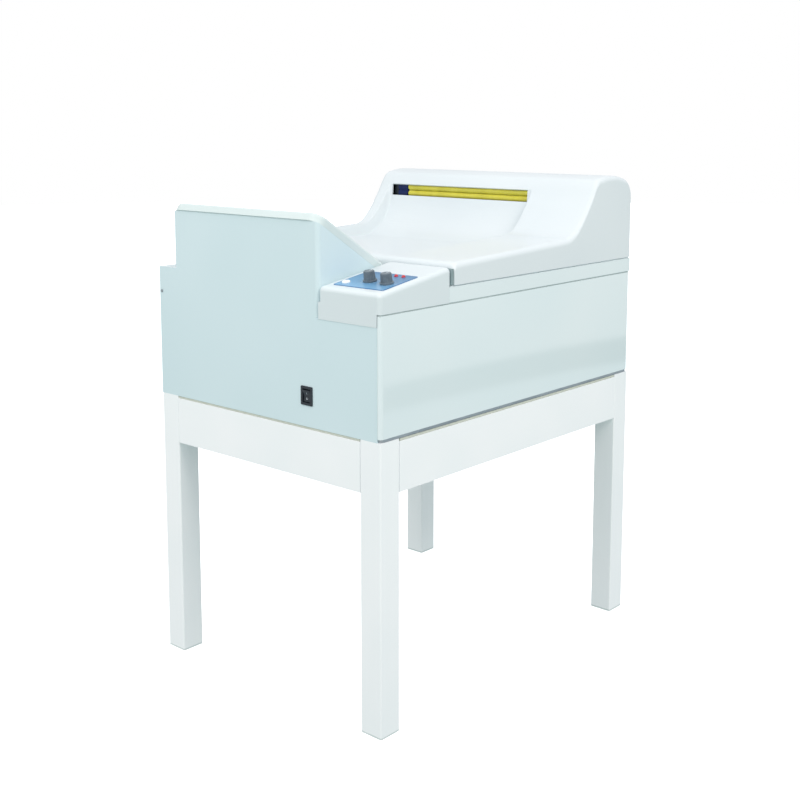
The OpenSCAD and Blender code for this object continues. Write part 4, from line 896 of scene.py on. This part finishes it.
@dataclass
class PowerSwitch(Assembly):
    """Rocker switch in a black bezel on the end panel."""

    x: float = 125.0
    pivot_y: float = SIZE.front_y + 4
    z: float = SIZE.stand_h + 59
    tilt: float = 7.0
    dish_r: float = 23.0
    face: float = 4.0
    mark_z: float = 5.0
    bar: Point = (0.7, 0.16, 3.6)
    ring_r: float = 1.7
    ring_wire_r: float = 0.3
    ring_squash: float = 0.3

    def face_place(self, z: float) -> Matrix:
        """Gives the place of a mark on the dished face of the rocker, at a height from its middle."""
        depth = -self.dish_r - self.face + math.sqrt(self.dish_r ** 2 - z ** 2)
        lean = math.asin(z / self.dish_r)
        rest = Matrix.Translation(Vector((self.x, self.pivot_y, self.z)) * MM)
        rest = rest @ Matrix.Rotation(math.radians(self.tilt), 4, "X")
        return rest @ Matrix.Translation(Vector((0, depth, z)) * MM) @ Matrix.Rotation(lean, 4, "X")

    def build(self) -> None:
        """Dresses bezel and rocker, then adds the bar and the ring that mark on and off."""
        rocker = Body.SWITCH_ROCKER.value
        self.dress(Dress("switch_bezel", Slot.BLACK, ABS_BLACK, 0.5),
                   Dress("switch_rocker", Slot.BLACK, ABS_BLACK, 0.4, body=rocker))
        bar = block(self.bar)
        soften(bar, 0.05, 1)
        settle(bar, self.face_place(self.mark_z))
        nothing_selected()
        bpy.ops.mesh.primitive_torus_add(major_radius=self.ring_r * MM, minor_radius=self.ring_wire_r * MM,
                                         major_segments=32, minor_segments=8, rotation=(math.pi / 2, 0, 0))
        ring = bpy.context.object
        settle(ring)
        with editing(ring):
            bpy.ops.mesh.select_all(action="SELECT")
            bpy.ops.transform.resize(value=(1.0, self.ring_squash, 1.0), center_override=(0, 0, 0))
        settle(ring, self.face_place(-self.mark_z))
        marks = join([bar, ring])
        shade(marks)
        self.hand_over(marks, "switch_marks", Slot.BUTTON, INK_WHITE, rocker)


@dataclass
class TopCover(Assembly):
    """Moulded shell with a rear hump, a film bay curled up to the exit slot and a stepped front skirt."""

    half_w: float = SIZE.half_w
    front_y: float = SIZE.cover_y
    rear_y: float = SIZE.rear_y
    deck_z: float = SIZE.deck_z
    wall: float = 4.0
    edge_r: float = 12.0
    rear_r: float = 24.0
    front_h: float = 42.0
    rise: float = 0.04
    hump_h: float = 184.0
    crown_y: float = 335.0
    crown_r: float = 200.0
    swell_y: float = 200.0
    swell_len: float = 85.0
    bay_x: Span = (-268.0, 136.0)
    bay_front: float = -190.0
    bay_wall: float = 12.0
    bay_z: float = SIZE.deck_z + 31
    bay_r: float = 110.0
    curve_y: float = 150.0
    slot_y: Span = (258.5, 261.0)
    slot_h: float = 27.1
    lip_y: float = 264.0
    notch_x: Span = (-265.0, 160.0)
    notch_z: float = SIZE.deck_z + 23
    notch_step: float = 0.7
    corner: float = 0.12
    toe_y: float = 160.0
    toe_len: float = 145.0
    toe_blend: float = 8.0
    flat_x: tuple[float, ...] = (-200, -140, -80, -20, 40, 90, 200, 240, 275)
    flat_y: tuple[float, ...] = (-140, -80, -20, 40, 90)
    brow_y: tuple[float, ...] = (266.5, 269.5, 273, 277, 281, 285)
    crown_rows: tuple[float, ...] = (292, 300, 310, 322, 335, 348, 361, 374, 383)
    row_gap: float = 0.2
    flat_start: float = 5.0
    slot_back: float = 1.5
    wall_steps: int = 12
    edge_steps: int = 8
    arc_steps: int = 18
    toe_steps: int = 16
    rear_steps: int = 10

    @staticmethod
    def blend(t: float) -> float:
        """Eases from 0 to 1."""
        c = min(1.0, max(0.0, t))
        return c * c * (3 - 2 * c)

    def ridge(self, y: float) -> float:
        """Height of the cover's outline at y: a soft toe runs into the steeper face of the hump."""
        ramp = self.deck_z + self.front_h + (y - self.front_y - self.edge_r) * self.rise
        crown = self.deck_z + self.hump_h - (y - self.crown_y) ** 2 / (2 * self.crown_r)
        steep = self.blend((y - self.swell_y) / self.swell_len)
        soft = self.blend((y - self.toe_y) / self.toe_len)
        lift = 0.0
        if soft > 0 and steep < 1:
            gap = abs(steep - soft) * abs(crown - ramp)
            lift = max(0.0, self.toe_blend - gap) ** 2 / (4 * self.toe_blend)
        return ramp + max(steep, soft) * (crown - ramp) + lift * 4 * soft * (1 - soft)

    def bay(self, y: float) -> float:
        """Height of the film bay's surface at y: flat, then an arc, the steep slot and the lip."""
        def arc(at: float) -> float:
            """Height of the arc that runs up to the slot."""
            return self.bay_z + self.bay_r - math.sqrt(self.bay_r ** 2 - (at - self.curve_y) ** 2)

        start, end = self.slot_y
        if y < self.curve_y:
            return self.bay_z
        if y <= start:
            return arc(y)
        if y <= end:
            return arc(start) + self.slot_h * (y - start) / (end - start)
        share = (y - end) / (self.lip_y - end)
        return (arc(start) + self.slot_h) * (1 - share) + self.ridge(self.lip_y) * share

    def surface(self, x: float, y: float) -> Vector:
        """Gives a point of the outer skin.

        Args:
            x: Station across the machine in millimetres.
            y: Station along it.

        Returns:
            The point in millimetres, with edges and corners rounded.
        """
        u = max(0.0, (abs(x) - self.half_w + self.edge_r) / self.edge_r)
        front = (self.front_y + self.edge_r - y) / self.edge_r
        rear = (y - self.rear_y + self.rear_r) / self.rear_r
        v, reach = (rear, self.rear_r) if rear > 0 else (max(0.0, front), self.edge_r)
        un, vn = u * math.sqrt(1 - self.corner * v ** 6), v * math.sqrt(1 - self.corner * u ** 6)
        drop = (self.edge_r * (1 - math.sqrt(1 - min(1.0, u * u)))
                + reach * (1 - math.sqrt(1 - min(1.0, v * v))))
        px = math.copysign(self.half_w - self.edge_r + un * self.edge_r, x) if u > 0 else x
        py = y
        if v > 0:
            py = self.rear_y - reach + vn * reach if rear > 0 else self.front_y + reach - vn * reach
        top = self.ridge(py) - drop
        if y < self.lip_y:
            w = (self.blend((x - self.bay_x[0]) / self.bay_wall + 1)
                 * self.blend((self.bay_x[1] - x) / self.bay_wall + 1)
                 * self.blend((y - self.bay_front) / self.bay_wall))
            top = top * (1 - w) + self.bay(y) * w
        return Vector((px, py, top))

    def stations(self) -> tuple[list[float], list[float]]:
        """Gives the rows of points across the cover and along it, closest where it curves."""
        def turn(count: int) -> list[float]:
            """Steps from 0 to 1 that are even round a quarter circle."""
            return [math.sin(math.pi / 2 * k / count) for k in range(count + 1)]

        walls = [self.bay_wall * k / self.wall_steps for k in range(self.wall_steps + 1)]
        edge = [self.edge_r * t for t in turn(self.edge_steps)]
        toe = self.slot_y[0] - self.toe_y
        arc_end = math.asin((self.slot_y[0] - self.curve_y) / self.bay_r)
        xs = [side * (self.half_w - self.edge_r + e) for side in (-1, 1) for e in edge]
        xs += [self.bay_x[0] - w for w in walls] + [self.bay_x[1] + w for w in walls]
        xs += [self.notch_x[0] - self.notch_step, self.notch_x[1] + self.notch_step]
        xs += [*self.notch_x, *self.flat_x]
        ys = [self.front_y + self.edge_r - e for e in edge] + [self.bay_front + w for w in walls]
        ys += [self.front_y + self.edge_r + self.flat_start, *self.flat_y]
        ys += [self.curve_y + self.bay_r * math.sin(arc_end * k / self.arc_steps)
               for k in range(self.arc_steps)]
        ys += [*self.slot_y, self.slot_y[1] + self.slot_back, self.lip_y, *self.brow_y, *self.crown_rows]
        ys += [self.toe_y + toe * k / self.toe_steps for k in range(self.toe_steps + 1)]
        ys += [self.rear_y - self.rear_r + self.rear_r * t for t in turn(self.rear_steps)]
        return self.spaced(xs), self.spaced(ys)

    def spaced(self, values: list[float]) -> list[float]:
        """Sorts stations and leaves out those too close to the one before."""
        kept: list[float] = []
        for value in sorted(values):
            if not kept or value - kept[-1] > self.row_gap:
                kept.append(value)
        return kept

    def draw_skirt(self, obj: Object, rim: set[int]) -> None:
        """Extrudes the skin's rim down to the deck, and only to the notch's height over the feed tray.

        Args:
            obj: The skin, open in edit mode.
            rim: Indices of the vertices on its rim.
        """
        bpy.ops.mesh.select_mode(type="EDGE")
        bpy.ops.mesh.select_all(action="DESELECT")
        mesh = bmesh.from_edit_mesh(obj.data)
        for edge in mesh.edges:
            if edge.is_boundary and all(v.index in rim for v in edge.verts):
                edge.select_set(True)
        bmesh.update_edit_mesh(obj.data)
        bpy.ops.mesh.extrude_region_move()
        mesh = bmesh.from_edit_mesh(obj.data)
        slack = self.notch_step / 2
        notch = (self.notch_x[0] - slack, self.notch_x[1] + slack)
        for vertex in mesh.verts:
            if vertex.select:
                in_notch = vertex.co.y / MM < self.front_y + slack and inside(vertex.co.x / MM, notch)
                vertex.co.z = (self.notch_z if in_notch else self.deck_z) * MM
        bmesh.update_edit_mesh(obj.data)

    def build(self) -> None:
        """Shapes a grid into the skin, opens the slot, draws down the skirt and gives it its wall."""
        xs, ys = self.stations()
        last_x, last_y = len(xs) - 1, len(ys) - 1
        nothing_selected()
        bpy.ops.mesh.primitive_grid_add(x_subdivisions=last_x, y_subdivisions=last_y, size=1.0)
        obj = bpy.context.object
        rim: set[int] = set()
        for vertex in obj.data.vertices:
            i = round((vertex.co.x + 0.5) * last_x)
            j = round((vertex.co.y + 0.5) * last_y)
            vertex.co = self.surface(xs[i], ys[j]) * MM
            if i in (0, last_x) or j in (0, last_y):
                rim.add(vertex.index)
        with editing(obj):
            pick_faces(obj, lambda c, n: inside(c.y / MM, self.slot_y) and inside(c.x / MM, self.bay_x))
            bpy.ops.mesh.delete(type="FACE")
            self.draw_skirt(obj, rim)
            bpy.ops.mesh.select_all(action="SELECT")
            bpy.ops.mesh.normals_make_consistent(inside=False)
        use_modifier(obj, "SOLIDIFY", thickness=self.wall * MM, offset=-1.0, use_even_offset=False)
        soften(obj, 0.7, 2, 60)
        shade(obj, 40)
        cover = Body.COVER.value
        self.hand_over(obj, "top_cover_moulding", Slot.MOULDED, ABS_COVER, cover, ("top_cover",))
        self.dress(Dress("cover_hinges", Slot.STEEL, ZINC_STEEL, 0.3, body=cover),
                   Dress("exit_bearings", Slot.BLACK, ABS_BLACK, 0.5, body=cover))


@dataclass
class Rollers(Assembly):
    """All turning rollers: sleeve, gear, pulleys and shaft each in their own finish."""

    sleeve_x: Span = (-222.5, 138.5)
    gear_x: Span = (-250.2, -239.75)
    shaft_r: float = 5.2
    exit_gear_x: Span = (-254.5, -224.5)
    exit_shaft_r: float = 3.2

    def exit_zones(self, axis: Vector) -> tuple[Zone, ...]:
        """Gives an exit roller's gear and shaft ends their finishes, by distance from its axis."""
        return (
            Zone(NYLON_BLUE, lambda c: inside(c.x, self.exit_gear_x)),
            Zone(ZINC_STEEL, lambda c: (c.yz - axis.yz).length < self.exit_shaft_r
                 and not inside(c.x, self.exit_gear_x) and not inside(c.x, self.sleeve_x)),
        )

    def rack_zones(self, axis: Vector) -> tuple[Zone, ...]:
        """Gives a rack roller's pulleys, gear and shaft ends their finishes, by distance from its axis."""
        return (
            Zone(NEOPRENE, lambda c: c.x < self.sleeve_x[0]),
            Zone(NYLON_BLUE, lambda c: inside(c.x, self.gear_x)),
            Zone(ZINC_STEEL, lambda c: (c.yz - axis.yz).length < self.shaft_r
                 and not inside(c.x, self.sleeve_x)),
        )

    def build(self) -> None:
        """Dresses every roller, with its axis read from the frame's joints."""
        for joint in frame["joints"]:
            node = joint["child"]
            if not joint.get("continuous"):
                continue
            axis = Vector(joint["pos_m"]) / MM
            if node.startswith("exit"):
                self.dress(Dress(node, Slot.YELLOW, PU_YELLOW, 0.25, 1, node, self.exit_zones(axis)))
            elif "roller" in node or "crossover" in node:
                self.dress(Dress(node, Slot.GREY, RUBBER_GREY, 0.4, 1, node, self.rack_zones(axis)))


@dataclass
class Works(Assembly):
    """What the cabinet holds: tanks, racks, belts, dryer, motor, blower and pump."""

    belt_x: Span = (-255.6, -251.4)

    def build(self) -> None:
        """Dresses each unit in its own material."""
        groove = Zone(NEOPRENE, lambda c: inside(c.x, self.belt_x))
        self.dress(
            Dress("tank_block", Slot.TANK, PVC_GREY, 0.8),
            Dress("drain_spigots", Slot.BLACK, ABS_BLACK, 0.5),
            *(Dress(bath + "_rack", Slot.TANK, PVC_GREY, 0.5) for bath in ("developer", "fixer", "wash")),
            Dress("drive_belts", Slot.BELT, NEOPRENE, 0.2, 1),
            Dress("dryer_frame", Slot.STEEL, ZINC_STEEL, 0.4),
            Dress("drive_motor", Slot.STEEL, ZINC_STEEL, 0.8),
            Dress("motor_pulley", Slot.STEEL, ZINC_STEEL, 0.3, 1, Body.MOTOR_PULLEY.value, (groove,)),
            Dress("blower_housing", Slot.STEEL, ZINC_STEEL, 0.6),
            Dress("blower_wheel", Slot.BLACK, ABS_BLACK, 0.2, 1, Body.BLOWER_WHEEL.value),
            Dress("circulation_pump", Slot.BLACK, ABS_BLACK, 0.8),
        )


@dataclass(frozen=True)
class Lamp:
    """A soft square lamp: its place and what it faces in metres, its power in watts, its side and tint."""

    name: str
    place: Point
    target: Point
    power: float
    size: float = 1.6
    colour: str = "#fff6f0"

    def hang(self) -> None:
        """Adds the lamp to the scene."""
        light = bpy.data.lights.new(self.name, "AREA")
        light.shape = "SQUARE"
        light.size = self.size
        light.energy = self.power
        light.color = linear(self.colour)[:3]
        lamp = bpy.data.objects.new(self.name, light)
        lamp.location = self.place
        lamp.rotation_euler = (Vector(self.target) - Vector(self.place)).to_track_quat("-Z", "Y").to_euler()
        lamp.visible_glossy = False
        bpy.context.scene.collection.objects.link(lamp)


@dataclass
class Studio:
    """Plain white studio: pale floor, even surround, soft lamps and the photograph's camera."""

    eye: Point = (1.7099, -1.9473, 1.1275)
    pitch: float = 82.365
    heading: float = 41.506
    lens_mm: float = 54.347
    shift_y: float = -0.15
    sky: str = "#e7eaed"
    ground: str = "#a9bcb5"
    horizon: Span = (-0.21, -0.17)
    edge: float = -0.48
    edge_lean: float = 0.357
    edge_soft: float = 0.004
    strip: float = 0.015
    mirror_strip: str = "#5a757c"
    mirror_floor: str = "#cbdde6"
    floor_r: float = 14.0
    floor_rim: float = 6.0
    floor_glow: float = 0.85
    fibre_mm: float = 1 / 0.9
    paper: tuple[str, str] = ("#fdfefe", "#fafcfc")
    lamps: tuple[Lamp, ...] = (Lamp("right_lamp", (2.65, -0.6, 2.95), (0.3, 0, 0.6), 47.0),
                               Lamp("front_lamp", (-0.4, -2.85, 2.95), (0, -0.4, 0.6), 40.0))

    def floor(self) -> None:
        """Lays the pale floor, a wide disc of matt paper that glows to white."""
        nothing_selected()
        bpy.ops.mesh.primitive_circle_add(vertices=96, radius=self.floor_r, fill_type="NGON")
        floor = bpy.context.object
        floor.name = "floor"
        with editing(floor):
            pick_faces(floor, lambda c, n: True)
            bpy.ops.mesh.inset(thickness=self.floor_rim)
        made = bpy.data.materials.new("matt_paper_white")
        tree = empty_tree(made)
        place = (add_node(tree, "TexCoord"), "Object")
        fibre = noise(tree, place, self.fibre_mm, 2.0)
        shader = add_node(tree, "BsdfPrincipled",
                          {"Roughness": 0.9, "Emission Color": linear(WHITE),
                           "Emission Strength": self.floor_glow},
                          {"Base Color": mix(tree, fibre, *self.paper)})
        add_node(tree, "OutputMaterial", {}, {"Surface": (shader, "BSDF")})
        floor.data.materials.append(made)
        floor.visible_diffuse = False
        floor.visible_glossy = False

    def mirrored(self, tree: NodeTree, place: Source) -> Source:
        """Gives what gloss reflects: the room, a dark strip at the floor's far edge, and pale floor."""
        lean = add_node(tree, "VectorMath",
                        {"operation": "DOT_PRODUCT", 1: (0.0, -self.edge_lean, 1.0)}, {0: place})
        under = self.edge - self.strip
        near = spread(tree, (lean, "Value"), under - self.edge_soft, under)
        above = spread(tree, (lean, "Value"), self.edge, self.edge + self.edge_soft)
        return mix(tree, above, mix(tree, near, self.mirror_floor, self.mirror_strip), self.sky)

    def surround(self) -> None:
        """Sets the surround: white to the eye, and as a light a pale room over a dimmer ground."""
        world = bpy.data.worlds.new("surround")
        tree = empty_tree(world)
        path = add_node(tree, "LightPath")
        place = (add_node(tree, "TexCoord"), "Generated")
        split = add_node(tree, "SeparateXYZ", {}, {"Vector": place})
        height = spread(tree, (split, "Z"), *self.horizon)
        room = mix(tree, height, self.ground, self.sky)
        lit = mix(tree, (path, "Is Glossy Ray"), room, self.mirrored(tree, place))
        seen = mix(tree, (path, "Is Camera Ray"), lit, WHITE)
        air = add_node(tree, "Background", {"Strength": 1.0}, {"Color": seen})
        add_node(tree, "OutputWorld", {}, {"Surface": (air, "Background")})
        bpy.context.scene.world = world

    def camera(self) -> None:
        """Sets the camera at the photograph's angle."""
        made = bpy.data.cameras.new("camera")
        made.lens = self.lens_mm
        made.sensor_width = 36.0
        made.shift_y = self.shift_y
        made.clip_end = 60.0
        made.dof.use_dof = False
        obj = bpy.data.objects.new("camera", made)
        obj.location = self.eye
        obj.rotation_euler = (math.radians(self.pitch), 0.0, math.radians(self.heading))
        bpy.context.scene.collection.objects.link(obj)
        bpy.context.scene.camera = obj

    def build(self) -> None:
        """Sets up camera, floor, surround and lamps."""
        self.camera()
        self.floor()
        self.surround()
        for lamp in self.lamps:
            lamp.hang()
        bpy.context.scene.view_settings.view_transform = "Standard"


def main() -> None:
    """Builds the studio and every sub-assembly in order."""
    logging.basicConfig(level=logging.INFO, format="%(message)s")
    Studio().build()
    for kind in (Stand, Cabinet, FeedTray, ControlBox, PowerSwitch, TopCover, Rollers, Works):
        part = kind()
        part.build()
        log.info("%s: %d pieces", kind.__name__, len(part.made))


if __name__ == "__main__":
    main()
